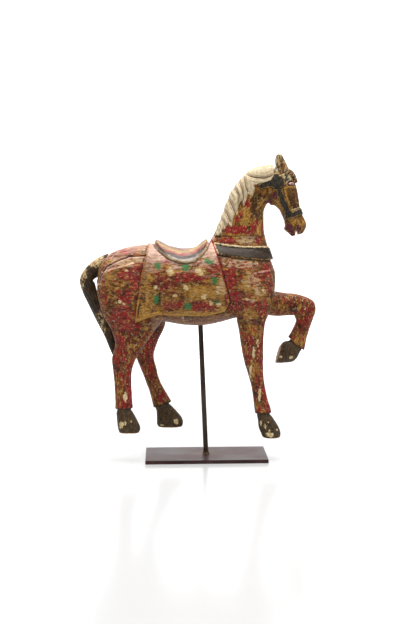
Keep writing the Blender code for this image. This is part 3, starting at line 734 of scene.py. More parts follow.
def dots(points, ovals):
    """Round daubs of paint: a value that falls evenly from 1 at the middle to 0.5 at the rim."""
    field = np.zeros(len(points))
    for x, z, length, height in ovals:
        away = np.hypot((points[:, 0] - x) / length, (points[:, 2] - z) / height)
        field = np.maximum(field, 1 - away / 2)
    return field


def body_paint(points):
    """The fields that say where each coat of the body's paint has survived."""
    flat = points[:, [0, 2]]
    x, z = flat.T
    blanket = outline_depth(flat, BLANKET)
    saddle = outline_depth(flat, SADDLE)
    strap = outline_depth(flat, CHEST_STRAP)
    on_blanket = np.clip(0.5 + blanket / 3, 0, 1)
    on_saddle = np.clip(0.5 + saddle / 3, 0, 1)
    on_strap = np.clip(0.5 + strap / 3, 0, 1) * (blanket < -0.5)
    rim_x, rim_z = np.array(SADDLE[1:-1]).T
    top_x, top_z = np.array(SEAT_TOP).T
    foot = np.interp(x, rim_x, rim_z)
    seat = np.clip((z - foot) / (np.interp(x, top_x, top_z) - foot + 1e-3), 0, 1.5) * (saddle > 0)
    belly = np.clip(0.5 + (204 - z) / 8, 0, 1) * (blanket < -1) * (np.abs(x + 22) < 66)
    haunch = line_distance(flat, HAUNCH_CUT)
    # Painted shade: dark lines under the strap's lower edge, in the gaps round the blanket, in the
    # haunch cut and in the hem cleft. The lines at the glued joints are dark joints.
    strap_shade = groove(np.abs(strap + 1.8), 2.4) * (blanket < 0) * (z < 304)
    front_gap = groove(np.abs(blanket + 1.6), 1.8) * (x > 8) * (z < 300)
    other_gaps = groove(np.abs(blanket + 1.4), 1.2) * (z < 318) * 0.5
    hollow = np.maximum.reduce([
        groove(np.abs(z - HIND_CUT), 1.6) * (x < -20), groove(np.abs(z - FORE_CUT), 1.0) * (x > 40),
        groove(np.abs(z - HEAD_CUT), 1.0) * (x > 8),
        strap_shade, front_gap, other_gaps, groove(haunch, 1.6),
        groove(line_distance(flat, HEM_CLEFT), 2.4) * 0.9,
    ])
    # Some dirt everywhere, plus painted shade: the dark field grows towards the bottom of the body.
    dirt_and_low_shade = 0.18 + 0.24 * np.clip((262 - z) / 35, 0, 1) * (blanket < 0)
    hem = groove(np.abs(blanket - 1.2), 2.6) * (z < 232)
    strap_foot = groove(np.abs(strap - 0.9), 1.7) * (blanket < 0) * (z < 303)
    return {
        "red": np.maximum(patches(points, BODY_RED), 0.14 * (blanket < 0)),
        "gold": np.maximum(patches(points, BODY_GOLD), 0.25),
        "dark": np.maximum(patches(points, BODY_DARK), dirt_and_low_shade),
        "pale": patches(points, BODY_PALE), "chips": patches(points, BODY_CHIPS),
        "hollow": hollow, "rims": np.maximum(hem, strap_foot * 0.7),
        "strap_top": groove(np.abs(strap - 0.8), 2.2) * (blanket < 0) * (z > 303),
        # Painted sheen: the blanket grows pale pink towards its top.
        "strap": on_strap, "bloom": np.clip((z - 264) / 50, 0, 0.9) * on_blanket * (saddle < 0),
        "border": groove(np.abs(blanket - 1.6), 2.2) * (x < -60) * (z > 200),
        "front_line": groove(line_distance(flat, FRONT_LINE), 2.4),
        # Painted highlight: pink just below the haunch cut, on the bulge that catches the light.
        "belly": belly, "haunch_highlight": np.exp(-haunch / 5) * (z < 300) * (blanket < -2),
        "saddle": on_saddle, "saddle_pale": groove(np.abs(seat - 0.20), 0.26) * on_saddle,
        "saddle_black": groove(np.abs(seat - 0.45), 0.24) * on_saddle,
        "saddle_red": groove(np.abs(seat - 0.62), 0.16) * on_saddle,
        "saddle_gold": groove(np.abs(seat - 0.79), 0.20) * on_saddle,
        "saddle_rim": groove(np.abs(saddle - 2.0), 2.2),
        # Painted shadow: a dark line just under the saddle's raised edge.
        "saddle_shadow": groove(np.abs(saddle + 1.0), 1.3) * (z < 322) * 1.1,
        "green": dots(points, GREEN_DOTS), "cream": dots(points, CREAM_DOTS),
    }


BODY_COATS = [
    *AGED.values(),
    coat(GREY_PINK, "belly", ragged=0.9, cover=0.45),
    # Painted sheen: pale pink on the surfaces that face up.
    coat(SHEEN_PINK, "upward", level=(0.3, 1.2), ragged=0.8, long=4.0, size=0.005, soft=0.25, cover=0.5),
    # Painted sheen towards the top of the blanket.
    coat(SHEEN_PINK, "bloom", ragged=0.7, long=3.0, size=0.005, soft=0.3, cover=0.75),
    coat(OCHRE, "border", ragged=0.7, cover=0.8),
    coat(RED, "front_line", ragged=0.4),
    # Painted highlight below the haunch cut.
    coat(SHEEN_PINK, "haunch_highlight", ragged=0.7, soft=0.2, cover=0.6),
    coat(BLACK, "strap", ragged=0.3, thick=0.3),
    coat(BROWN, "strap", ragged=1.6, size=0.003, cover=0.5),
    coat(GREEN, "green", ragged=0.35, size=0.003, soft=0.14, cover=0.85),
    coat(GOLD, "cream", ragged=0.45, size=0.002, cover=0.9),
    coat(CREAM, "cream", ragged=0.5, size=0.003, cover=0.85),
    coat(GREY_PINK, "saddle", ragged=0.3),
    coat(("#C2B8AF", "#968A80"), "saddle_pale", ragged=0.6, long=5.0, cover=0.8),
    coat(("#6B6660", "#35312D"), "saddle_black", ragged=0.5, long=5.0, soft=0.2, cover=0.85),
    coat(("#B85A58", "#8C3434"), "saddle_red", ragged=0.9, long=5.0, cover=0.75),
    coat(("#C4A87A", "#94734A"), "saddle_gold", ragged=0.7, long=5.0, cover=0.9),
    coat(GOLD, "saddle_rim", ragged=0.3),
    coat(CREAM, "saddle_rim", ragged=0.6, long=3.0, size=0.005),
    coat(GOLD, "rims", ragged=0.9, size=0.0025, cover=0.85),
    coat(CREAM, "strap_top", ragged=0.7, size=0.0025, cover=0.9),
    # Painted shade in the hollows and painted shadow under the saddle, over the dark glued joints.
    coat(SHADE_AND_GRIME, "hollow", ragged=0.6, soft=0.3, cover=0.85),
    coat(SHADE_AND_GRIME, "saddle_shadow", ragged=0.3, soft=0.2, cover=0.8),
]

body_tubes = [limb(TORSO), limb(NECK[:5]), limb(RIGHT_HIND[:6], -28), limb(LEFT_HIND[:6], 27),
              limb(RIGHT_FORE[:6], -24), limb(LEFT_SHOULDER, 24), limb(LEFT_FORE[:4], 22)]
body_mesh = carved("carved_body", body_tubes, BODY_GRAIN, BODY_SMOOTHING, carve_body)
saws = [box_prism(low, high, FIT_GAP) for low, high in SAW_CUTS]
body_mesh = cut_away(body_mesh, closed_limbs("saws", [*saws, tail_seat(), rod_hole()]))
store(body_mesh, body_paint(points_of(body_mesh)))
body_finish = painted_wood("painted_body_wood", 0.0, OCHRE, BODY_COATS)
show("carved_body", set_up(body_mesh), body_finish, "body")

# The head and neck: one block with the grain along the neck, carved with a mane of long locks,
# two pricked ears, a forelock and a bridle, and glued on at the foot of the neck. The mane is
# cream, the face ochre and brown, the bridle black, with crimson left on the lower neck.
HEAD_GRAIN = 0.72
HEAD_SMOOTHING = 60
HEAD = [
    ((113, 444), (99, 392), 14), ((130, 438), (104, 381), 17), ((139, 426), (112, 379), 18),
    ((146, 411), (119, 372.5), 17), ((150, 394), (123, 365.5), 15), ((153, 376), (127, 356), 13),
    ((159, 361), (128.5, 347), 12), ((163.5, 350), (127, 342), 12), ((162, 342), (132, 337), 11),
    ((158, 335), (140, 330), 8),
]
EAR = [
    ((115, 428), (135, 433), 5), ((114, 443), (130, 445), 5), ((113, 452), (126, 453), 4.5),
    ((114, 458), (123, 459), 3.5), ((116, 462), (120, 462), 2),
]
FORELOCK = [
    ((130, 442), (125, 428), 8), ((139.5, 436), (132, 424), 8), ((145.5, 428), (137, 418), 7),
    ((149, 418), (143, 414), 4),
]
CROWN_PIECE = [
    (81.5, 412), (94, 418.5), (103, 426), (107, 431), (117, 430.5), (122, 426), (125.5, 419),
    (124, 411), (112, 404), (105, 409.4), (96, 409), (85, 406),
]
CHEEK_STRAP = [
    (111.5, 408), (114.4, 395), (120, 382), (125.7, 369.4), (128.7, 358), (138, 368), (134.2, 376),
    (131, 382), (124.9, 393.4), (121, 404.6), (123.8, 411),
]
NOSE_BAND = [
    (126, 371), (138.5, 369.4), (153, 375.5), (168, 380), (168, 368), (157, 366), (143.4, 362),
    (127.7, 357.4),
]
FACE_PANEL = [(128.4, 406.2), (144.6, 406.2), (150, 392), (149, 380.6), (136, 378.2), (131, 391)]
MOUTH_NOTCH = [(152.4, 324), (146.4, 345), (143.0, 324)]
BRIDLE = (CROWN_PIECE, CHEEK_STRAP, NOSE_BAND)
MUZZLE_CREASE = [(128, 355), (155, 363), (168, 364)]
NOSTRIL = (151.5, 342)
EAR_FOOT = 436
EYE = (137, 414.5)
EYE_SIZE = (6.0, 3.2)
MANE = [
    (108, 428), (103, 420), (91, 416), (81, 414), (78, 408), (74, 394), (69, 397), (66, 401),
    (64, 389), (60, 378), (57, 388), (52, 382), (49, 363), (46, 371), (43, 360), (40, 344),
    (35, 352), (30, 340), (26, 338), (22, 326), (0, 322), (4, 360), (28, 400), (50, 435), (80, 455),
    (108, 455),
]
MANE_CUTS = [
    [(50, 432), (64, 430), (71, 426), (79, 424), (94, 423), (105, 427)],
    [(61, 426), (62, 417), (64, 408), (67, 401)],
    [(53, 419), (58, 405), (60, 392), (57, 382)],
    [(44, 411), (53, 395), (52, 384), (51, 372)],
    [(34, 394), (40, 383), (44, 373), (46, 369)],
    [(27, 374), (34, 365), (38, 354)],
    [(20, 361), (28, 354), (31, 344)],
]
MANE_FOOT = 324
STRAND = 5.0


def mane_strands(points):
    """Nearest lock cut and the wave of the strands beside it, which run along that cut."""
    flat = points[:, [0, 2]]
    distances = np.array([line_distance(flat, line) for line in MANE_CUTS])
    nearest = distances.min(axis=0)
    wander = lumps(points, 7.0, 21) * 1.1
    return nearest, np.cos(2 * pi * nearest / STRAND + wander)


def mane_share(flat):
    """1 on the mane, 0 off it."""
    foot = np.clip((flat[:, 1] - MANE_FOOT) / 8, 0, 1)
    return step(outline_depth(flat, MANE), 1.6) * foot * (flat[:, 0] > 5)


def bridle_depth(flat):
    """Distance to the edge of the bridle's straps, positive on them."""
    return np.max([outline_depth(flat, line) for line in BRIDLE], axis=0)


def from_eye(x, z):
    """Distance from the eye's middle, as a share of its half sizes."""
    return np.hypot((x - EYE[0]) / EYE_SIZE[0], (z - EYE[1]) / EYE_SIZE[1])


def carve_head(points, normals):
    """Height of the head's carving along its normals, in millimetres: rounded locks with fine
    strands, flat straps, a sunk face panel, lidded eyes, a nostril and ear hollows."""
    flat = points[:, [0, 2]]
    x, z = flat.T
    nearest, strands = mane_strands(points)
    mane = mane_share(flat)
    crest = [station[0] for station in (*NECK, HEAD[0])]
    side = 1 - step(8 - line_distance(flat, crest), 8)
    lock = 2.0 * (1 - np.exp(-nearest / 2.6)) - 1.7 * groove(nearest, 1.5) * side
    straps = step(bridle_depth(flat), 1.3)
    panel = outline_depth(flat, FACE_PANEL)
    eye = from_eye(x, z)
    off_ear = z < EAR_FOOT
    height = mane * (lock + strands * 0.16) + straps * 1.5 * (1 - mane)
    height -= step(panel, 1.5) * 0.8 * (1 - straps)
    height += np.clip(1 - eye ** 2, 0, 1) * 1.6
    height -= groove(np.abs(eye - 1.05), 0.3) * 1.3 * off_ear
    height += groove(np.abs(eye - 1.6), 0.4) * 0.8 * (z < 414)
    height -= groove(np.hypot(x - NOSTRIL[0], z - NOSTRIL[1]), 3.4) * 2.4
    height -= groove(line_distance(flat, MUZZLE_CREASE), 1.6) * 0.9 * (1 - straps)
    ear_hollow = np.hypot((x - 119) / 3.2, (z - 449) / 9)
    outer = np.clip(np.abs(points[:, 1]) - 9, 0, 4) / 4
    height -= np.clip(1 - ear_hollow ** 2, 0, 1) * 1.6 * outer
    return height + knife_marks(points, UPRIGHT_GRAIN) * (1 - 0.7 * mane)


HEAD_RED = [
    (65, 381, 4, 8, 0.95), (57, 368, 3.5, 5, 0.9), (51, 358, 4, 5, 0.95), (46, 341, 16, 6, 0.95),
    (59, 344, 6, 6, 0.8), (77, 345, 5, 7, 0.95), (81, 351, 3.2, 5, 0.9), (78, 411, 1.6, 2.4, 0.9),
    (91, 342, 2.4, 10, 0.8), (69, 337, 10, 3.2, 0.6),
]
HEAD_GOLD = [
    (86, 347, 4, 13, 0.9), (73, 397, 5, 6, 0.7), (89, 381, 3.2, 16, 0.5), (105, 408, 8, 6, 0.6),
    (123, 382, 4, 8, 0.9), (148, 352, 8, 6, 0.8), (156, 347, 5, 8, 0.6), (118, 389, 5, 10, 0.5),
    (138, 360, 6, 5, 0.5), (54, 333, 16, 2.4, 0.6),
]
HEAD_DARK = [
    (77, 383, 6, 21, 1.0), (83, 364, 6, 12, 0.9), (66, 347, 5, 6, 0.9), (89, 395, 10, 8, 0.5),
    (135, 342, 8, 10, 0.55), (94, 395, 13, 10, 0.35), (144, 379.5, 7, 3, 1.2), (23, 342, 6, 8, 0.6),
    (136, 418.5, 9, 2.4, 1.1), (141, 428, 3, 5, 0.7), (138, 393, 5, 11, 0.5),
]
HEAD_PURPLE = [
    (100, 385, 6, 2.9, 1.0), (110, 395, 4, 6, 0.8), (133, 346, 6, 5, 0.8), (138, 338, 5, 5, 0.9),
    (149, 342, 3.6, 6, 1.2), (148, 392, 1.9, 11, 0.9), (83, 418, 5, 2.6, 0.7),
    (59, 393, 2.6, 3.2, 0.6),
]
CREAM_LINES = [
    [(138, 372.6), (143.3, 374.2), (152, 377)],
    [(116.5, 427.2), (123.4, 429.6), (132, 434)],
]
GOLD_LINES = [
    [(125.2, 407.4), (131.6, 409.8), (138.9, 409.8), (145, 408.6)],
    [(126, 404), (129.4, 392), (133.5, 380)],
]
FLOWERS = [(63, 370, 7.5), (62, 355, 8)]
FLOWER_PETALS = 7


def head_paint(points):
    """The fields that say where each coat of the head's paint has survived."""
    flat = points[:, [0, 2]]
    x, z = flat.T
    nearest, strands = mane_strands(points)
    mane = mane_share(flat)
    straps = bridle_depth(flat)
    bare = np.zeros(len(points))
    flower = petals = bare
    for centre_x, centre_z, size in FLOWERS:
        away = np.hypot(x - centre_x, z - centre_z) / size
        wave = np.cos(np.arctan2(z - centre_z, x - centre_x) * FLOWER_PETALS)
        flower = np.maximum(flower, np.clip(1.5 - away, 0, 1))
        petals = np.maximum(petals, (away < 1) * np.clip(0.5 - wave * away, 0, 0.8))
    eye = from_eye(x, z)
    off_ear = z < EAR_FOOT
    ear_away = np.hypot((x - 122 - (445 - z) * 0.15) / 5.5, (z - 442) / 11)
    # Painted shade: dark just outside the straps' edges, in the eye's groove and in the nostril.
    # The line at the head's foot is a dark joint.
    hollow = np.maximum.reduce([
        groove(np.abs(straps + 0.8), 1.2) * (mane < 0.5) * 0.8,
        groove(np.abs(eye - 1.05), 0.35) * off_ear,
        groove(np.abs(z - HEAD_CUT), 1.0) * (x < 105),
        groove(np.hypot(x - NOSTRIL[0], z - NOSTRIL[1]), 3.0),
    ])
    return {
        "mane": mane, "strand": mane * np.clip(-0.3 - strands * 1.3, 0, 1),
        "lock_edge": groove(nearest, 3.0) * mane, "lock_cut": groove(nearest, 1.6) * mane,
        "red": patches(points, HEAD_RED), "gold": patches(points, HEAD_GOLD),
        "dark": patches(points, HEAD_DARK), "purple": patches(points, HEAD_PURPLE),
        "strap": np.clip(0.5 + straps / 2.4, 0, 1) * (1 - mane) * (z < 431), "hollow": hollow,
        "strap_rim": groove(np.abs(straps - 0.2), 1.1) * (1 - mane),
        "cream": np.max([groove(line_distance(flat, line), 2.0) for line in CREAM_LINES], axis=0),
        "lid": np.max([groove(line_distance(flat, line), 2.2) for line in GOLD_LINES], axis=0),
        "panel": np.clip(0.5 + outline_depth(flat, FACE_PANEL) / 3, 0, 1),
        "flower": flower, "petals": petals, "pale": bare, "chips": bare,
        "eye": np.clip(1.3 - eye, 0, 1) * off_ear,
        "pupil": np.clip(1.1 - np.hypot((x - EYE[0] - 1) / 2.0, (z - EYE[1]) / 2.2), 0, 1),
        "boss": dots(points, [(130, 423, 9, 7)]) * (straps < 0),
        "ear": np.clip((z - 430 - (x - 118) * 0.3) / 3, 0, 1) * (x > 109),
        "ear_spots": np.clip((z - 430) / 8, 0, 0.5) * (x > 109),
        "ear_hollow": np.clip(1.3 - ear_away, 0, 1),
        "mane_foot": mane * np.clip((346 - z) / 24, 0, 0.7),
    }


HEAD_COATS = [
    *[AGED[name] for name in (
        "gold", "brown", "dirt and shade", "gold left", "crimson", "soot", "gold flecks")],
    coat(("#7A3244", "#481C2C"), "purple", ragged=0.6, size=0.005, cover=0.9),
    coat(BROWN, "panel", ragged=0.8, cover=0.5),
    coat(("#DFD0B2", "#C4AC84"), "mane", ragged=0.4, thick=0.2),
    coat(("#9C8052", "#66502E"), "strand", ragged=0.6, long=4.0, soft=0.2, cover=0.5),
    coat(("#C79C90", "#A97A74"), "lock_edge", ragged=1.2, size=0.009, soft=0.3, cover=0.2),
    coat(("#86683E", "#4A3420"), "lock_cut", ragged=0.25, size=0.008, soft=0.2, cover=0.72),
    coat(BROWN, "mane_foot", ragged=1.1, size=0.004, soft=0.2, cover=0.85),
    coat(RED, "red", ragged=0.9, size=0.0026, thick=0.4),
    coat(GOLD, "flower", ragged=0.7, size=0.002, cover=0.9),
    coat(BROWN, "petals", ragged=0.8, size=0.003, cover=0.4),
    *[AGED[name] for name in ("rubbed", "cream flecks", "chips")],
    coat(BLACK, "strap", ragged=0.4, thick=0.3),
    coat(CREAM, "boss", ragged=0.8, size=0.003, cover=0.8),
    coat(BLACK, "boss", ragged=2.2, size=0.0034),
    coat(("#D6BC90", "#9C8454"), "ear", ragged=0.6, size=0.005, cover=0.9),
    coat(BLACK, "ear_spots", size=0.0036, cover=0.85),
    coat(("#A8662E", "#3E2214"), "ear_hollow", ragged=0.7, size=0.004, cover=0.9),
    coat(CREAM, "cream", ragged=0.6, size=0.002, cover=0.9),
    coat(GOLD, "lid", ragged=0.4, size=0.002),
    coat(("#C9A498", "#A0706A"), "eye", ragged=0.3),
    coat(("#A8405A", "#6A2A34"), "pupil", ragged=0.6),
    coat(GOLD, "strap_rim", ragged=1.2, size=0.003, cover=0.7),
    # Painted shade in the hollows.
    coat(SHADE_AND_GRIME, "hollow", ragged=0.6, soft=0.3, cover=0.8),
]

head_tubes = [limb(NECK[1:]), limb(HEAD), limb(EAR, -9), limb(EAR, 9), limb(FORELOCK)]
head_mesh = carved("carved_head", head_tubes, HEAD_GRAIN, HEAD_SMOOTHING, carve_head)
foot_saw = box_prism((-60, -90, 200), (125, 90, HEAD_CUT))
head_mesh = cut_away(head_mesh, closed_limbs("head_saws", [foot_saw, prism(MOUTH_NOTCH, -40, 40)]))
store(head_mesh, head_paint(points_of(head_mesh)))
head_finish = painted_wood("painted_head_wood", radians(72), OCHRE, HEAD_COATS)
show("carved_head", set_up(head_mesh), head_finish, "head_and_neck")

# The four legs: each is its own block with the grain down the leg and the hoof carved in one
# with it, below a turned-out cuff. They are ochre with red left in patches; the hooves are black.
LEG_GRAIN = 0.85
LEG_SMOOTHING = 50
LEGS = {
    "right_foreleg": {
        "leg": RIGHT_FORE, "middle": -24, "tilt": radians(-82),
        "hoof": [
            ((81, 50), (99, 50), 8), ((82.5, 38), (105, 39), 10), ((83.5, 33), (108, 36), 11.5),
            ((85.5, 19), (118, 20), 14), ((89, 10), (121, 11), 15), ((92, 3), (120.5, 3), 14),
        ],
        "saw": box_prism((-60, -90, FORE_CUT), (200, 90, 400)),
        "red": [
            (69, 162, 6, 13, 0.85), (68, 136, 6, 6, 0.9), (86, 153, 4, 13, 0.85),
            (88, 119, 2.4, 23, 0.9), (95, 86, 6, 32, 1.0), (101, 50, 5, 10, 1.0),
        ],
        "gold": [
            (77, 181, 15, 8, 0.8), (82, 168, 5, 8, 0.6), (61, 160, 4, 13, 0.7),
            (76, 119, 6, 15, 0.75), (93, 47, 8, 8, 0.7), (81, 47, 5, 7, 0.5),
        ],
        "dark": [
            (72, 194, 16, 4, 1.0), (79, 174, 2.4, 3.2, 1.0), (81, 131, 5, 8, 0.5),
            (63, 142, 2.4, 13, 0.5), (83, 72, 5, 15, 0.7),
        ],
        "chips": [
            (86, 76, 2.3, 11, 1.0), (71, 113, 1.9, 10, 0.9), (75, 145, 1.9, 8, 0.9),
            (82, 160, 2.4, 5, 0.7), (101, 17, 2.2, 2.2, 0.8), (95, 24, 2.2, 4, 0.8),
            (102, 9, 6, 4, 0.85), (88, 27, 1.8, 4, 0.8), (114, 17, 1.6, 1.6, 0.8),
            (99, 30, 3.0, 2.0, 0.8),
        ],
    },
    "right_hind_leg": {
        "leg": RIGHT_HIND, "middle": -28, "tilt": radians(88),
        "hoof": [
            ((-142, 60), (-126, 60), 8), ((-146, 48), (-122, 50), 10),
            ((-146, 42), (-119, 46), 11.5), ((-145, 28), (-110, 28), 14),
            ((-144, 20), (-108, 20), 14.5), ((-142, 14), (-110, 14), 13.5),
        ],
        "saw": box_prism((-300, -90, HIND_CUT), (200, 90, 400)),
        "red": [
            (-137, 168, 8, 10, 0.9), (-136, 149, 10, 11, 0.75), (-144, 131, 6, 10, 0.9),
            (-133, 137, 6, 8, 0.7), (-125, 88, 6, 34, 1.0), (-122, 124, 3.2, 13, 0.8),
            (-132, 66, 8, 10, 0.9), (-144, 183, 6, 5, 0.8),
        ],
        "gold": [
            (-120, 157, 5, 4.0, 0.9), (-126, 142, 13, 13, 0.4), (-140, 97, 6, 16, 0.6),
            (-142, 56, 4, 3.2, 0.8), (-107, 170, 10, 6, 0.4),
        ],
        "dark": [
            (-117, 170, 15, 11, 0.95), (-110, 150, 10, 9, 0.7), (-144, 94, 4.0, 32, 0.4),
            (-129, 181, 32, 2.4, 0.8),
        ],
        "chips": [
            (-131, 73, 3.2, 7, 0.9), (-138, 28, 3.2, 5, 1), (-132, 32, 1.6, 3.2, 1),
            (-122, 34, 1.6, 1.9, 1),
        ],
    },
    "left_hind_leg": {
        "leg": LEFT_HIND, "middle": 27, "tilt": radians(-78),
        "hoof": [
            ((-84, 52), (-68, 58), 8), ((-83.5, 42), (-60, 48.5), 10), ((-82, 36), (-55, 44), 11.5),
            ((-81.5, 24), (-42, 29), 14), ((-81.5, 16), (-37.5, 19), 14.5),
            ((-79.5, 11), (-38.5, 11), 13.5),
        ],
        "saw": box_prism((-300, -90, HIND_CUT), (200, 90, 400)),
        "red": [
            (-96, 152, 16, 26, 1.0), (-92, 112, 6, 18, 0.9), (-74, 63, 7, 10, 0.8),
            (-84, 167, 8, 13, 0.6),
        ],
        "gold": [
            (-97, 112, 2.5, 10, 0.6), (-79, 87, 5, 12, 0.6), (-77, 49, 5, 7, 1.0),
            (-63, 53, 3.3, 5, 0.5),
        ],
        "dark": [
            (-79, 179, 8, 16, 0.7), (-93, 66, 5, 10, 0.4),
        ],
        "chips": [
            (-49, 21, 4, 4, 1), (-73, 15, 2.5, 1.7, 1),
        ],
    },
    "left_foreleg": {
        "leg": LEFT_FORE, "middle": 22, "tilt": radians(78),
        "hoof": [
            ((161, 149), (146, 160), 8), ((161, 141.5), (139, 155.5), 10),
            ((158, 136), (135, 155), 11.5), ((152, 125), (130, 153), 13.5),
            ((142, 119), (127, 150), 14.5), ((117, 118), (125, 146), 13.5),
        ],
        "saw": box_prism((-60, -90, 60), (RAISED_CUT, 90, 400)),
        "red": [
            (162, 208, 6, 8, 0.7), (157, 190, 4, 5, 0.7), (160, 162, 2.0, 3.3, 0.8),
            (160, 140, 2.5, 2.5, 0.8), (172, 196, 9, 20, 0.7),
        ],
        "gold": [
            (126, 218, 8, 12, 0.7), (129, 227, 23, 2.5, 0.6), (156, 213, 3.3, 8, 0.7),
            (171, 215, 3.3, 3.3, 0.8), (156, 157, 12, 10, 0.7),
        ],
        "dark": [
            (144, 217, 8, 12, 0.85), (116, 217, 2.0, 13, 1.0), (159, 183, 8, 15, 0.75),
            (121, 220, 1.7, 12, 0.6), (129, 220, 1.7, 12, 0.5),
        ],
        "chips": [
            (125, 130, 2.8, 2.3, 1), (142, 129, 2.8, 2.3, 1), (164, 211, 1.7, 3.3, 0.8),
        ],
    },
}


CUFF_REACH = 6
HOOF_REACH = 52
LEAST_RED = 0.26


def beside_line(flat, chord, towards):
    """Distance from the line through a chord's two ends, positive on the side of a point."""
    start, end = np.array(chord, float)
    across = np.array([start[1] - end[1], end[0] - start[0]]) / np.linalg.norm(end - start)
    return (flat - start) @ across * np.sign((np.array(towards, float) - start) @ across)


def carve_leg(points, normals):
    """Height of a leg's carving: knife marks down the grain alone."""
    return knife_marks(points, UPRIGHT_GRAIN)


def leg_paint(points, leg, middle):
    """The fields that say where each coat of a leg's paint has survived."""
    flat = points[:, [0, 2]]
    sole = leg["hoof"][-1][:2]
    below_cuff = beside_line(flat, leg["hoof"][0][:2], sole[0]) - CUFF_REACH
    above_sole = beside_line(flat, sole, leg["hoof"][0][0])
    near = np.linalg.norm(flat - np.mean(sole, axis=0), axis=1) < HOOF_REACH
    hoof = np.clip(0.5 + below_cuff / 2, 0, 1) * near
    return {
        "red": np.maximum(patches(points, leg["red"], middle), LEAST_RED),
        "gold": patches(points, leg["gold"], middle), "dark": patches(points, leg["dark"], middle),
        "chips": patches(points, leg["chips"], middle), "pale": np.zeros(len(points)),
        "hoof": hoof, "sole": groove(above_sole, 3.4) * near,
        # Painted shade in the groove below the cuff.
        "pastern": groove(np.abs(below_cuff), 3.0) * near,
    }


LEG_COATS = [
    *[AGED[name] for name in AGED if name != "chips"],
    coat(BLACK, "hoof", ragged=0.3, thick=0.2),
    coat(("#6B5233", "#3A2A1A"), "hoof", ragged=2.0, size=0.0026, cover=0.8),
    coat(OCHRE, "sole", ragged=0.9, size=0.0025, cover=0.9),
    AGED["chips"],
    # Painted shade in the groove below the cuff.
    coat(SHADE_AND_GRIME, "pastern", ragged=0.6, soft=0.2, cover=0.6),
]

for leg_name, leg in LEGS.items():
    middle = leg["middle"]
    tubes = [limb(leg["leg"], middle), limb(leg["hoof"], middle)]
    leg_mesh = carved("carved_" + leg_name, tubes, LEG_GRAIN, LEG_SMOOTHING, carve_leg)
    leg_mesh = cut_away(leg_mesh, closed_limbs("leg_saw", [leg["saw"]]))
    store(leg_mesh, leg_paint(points_of(leg_mesh), leg, middle))
    leg_finish = painted_wood("painted_" + leg_name, leg["tilt"], OCHRE, LEG_COATS)
    show("carved_" + leg_name, set_up(leg_mesh), leg_finish, leg_name)

# The tail: carved on its own in an arch and glued to the rump. It is cut with long strands of
# hair, painted black and worn through to ochre and cream on its upper outer edge.
TAIL_GRAIN = 0.8
TAIL_SMOOTHING = 30
TAIL = [
    ((-158, 303), (-174, 266), 11), ((-172, 297), (-179, 263), 11.5),
    ((-185, 288.5), (-183, 260), 12), ((-196, 278), (-183.5, 258), 12),
    ((-203, 267), (-181, 254.5), 12), ((-204.5, 255), (-179.5, 249), 12),
    ((-200, 240), (-177, 240), 12), ((-191, 220), (-167, 222), 11.5),
    ((-179, 194), (-158, 199), 10.5), ((-166, 168), (-150, 173), 9), ((-158, 148), (-147, 151), 7),
    ((-152, 134), (-146, 136), 4),
]
TAIL_STRANDS = 11
TAIL_GLUED = -166
TAIL_WEAR = [
    (-178, 291, 12, 8, 0.9), (-199, 272, 6, 12, 0.8), (-202, 250, 4, 8, 0.5),
    (-172, 186, 8, 24, 0.25),
]


def tail_across(flat):
    """How far each point is from the tail's outer edge, as a share of its width there."""
    outer = line_distance(flat, [station[0] for station in TAIL])
    inner = line_distance(flat, [station[1] for station in TAIL])
    return outer / (outer + inner + 1e-6)


def tail_strands(points):
    """The wave of the hair, which runs along the tail: crests and cuts across its width."""
    share = tail_across(points[:, [0, 2]])
    around = share * TAIL_STRANDS + points[:, 1] / 6 + lumps(points, 16.0, 31) * 0.45
    return np.abs(np.sin(around * pi / 2)) - 0.5


def carve_tail(points, normals):
    """Height of the tail's carving: cut hair and knife marks, none where the root is glued on."""
    root = np.clip((TAIL_GLUED - points[:, 0]) / 8, 0, 1)
    return (tail_strands(points) * 0.7 + knife_marks(points, UPRIGHT_GRAIN) * 0.6) * root


TAIL_GROUND = ("#4A4034", "#211B15")
TAIL_COATS = [
    coat(BROWN, "everywhere", level=0.30, long=7.0, size=0.0024, cover=0.7),
    coat(OCHRE, "everywhere", level=0.07, long=6.0, size=0.002, cover=0.8),
    coat(OCHRE, "wear", ragged=0.9, long=4.0, size=0.003),
    coat(CREAM, "wear", ragged=1.8, long=2.0, size=0.003, cover=0.8),
    # Painted shade in the cuts between the strands.
    coat(SHADE_AND_GRIME, "hollow", ragged=0.5, soft=0.25, cover=0.8),
]

tail_mesh = carved("carved_tail", [limb(TAIL)], TAIL_GRAIN, TAIL_SMOOTHING, carve_tail)
tail_points = points_of(tail_mesh)
# Painted shade: the cuts between the strands of hair are darkened.
cuts = groove(tail_strands(tail_points) + 0.5, 0.3)
store(tail_mesh, {"wear": patches(tail_points, TAIL_WEAR), "hollow": cuts})
tail_finish = painted_wood("black_tail_wood", radians(-62), TAIL_GROUND, TAIL_COATS)
show("carved_tail", set_up(tail_mesh), tail_finish, "tail")

# The floor and the light: a pale seamless sweep with a faint gloss, soft panels above and at
# both sides, and an even white surround, as for a catalogue picture.
FLOOR_WIDTH = 6.0
FLOOR_FRONT = -0.8
SWEEP_BACK = 1.6
SWEEP_RADIUS = 0.6
SWEEP_HEIGHT = 3.0
FLOOR_GREY = 0.46
FLOOR_ROUGHNESS = 0.17
GLOW_DEPTHS = (0.3, 1.5)
GLOW = (0.25, 1.0)
SURROUND = 0.08
LIGHTS = [
    ("top_panel", (0.0, -0.05, 1.9), (0.0, 0.0, 0.25), 1.5, 60),
    ("left_panel", (-1.7, -1.1, 1.3), (0.0, 0.0, 0.25), 1.2, 8),
    ("right_panel", (1.6, -1.0, 1.1), (0.0, 0.0, 0.25), 1.2, 10),
]


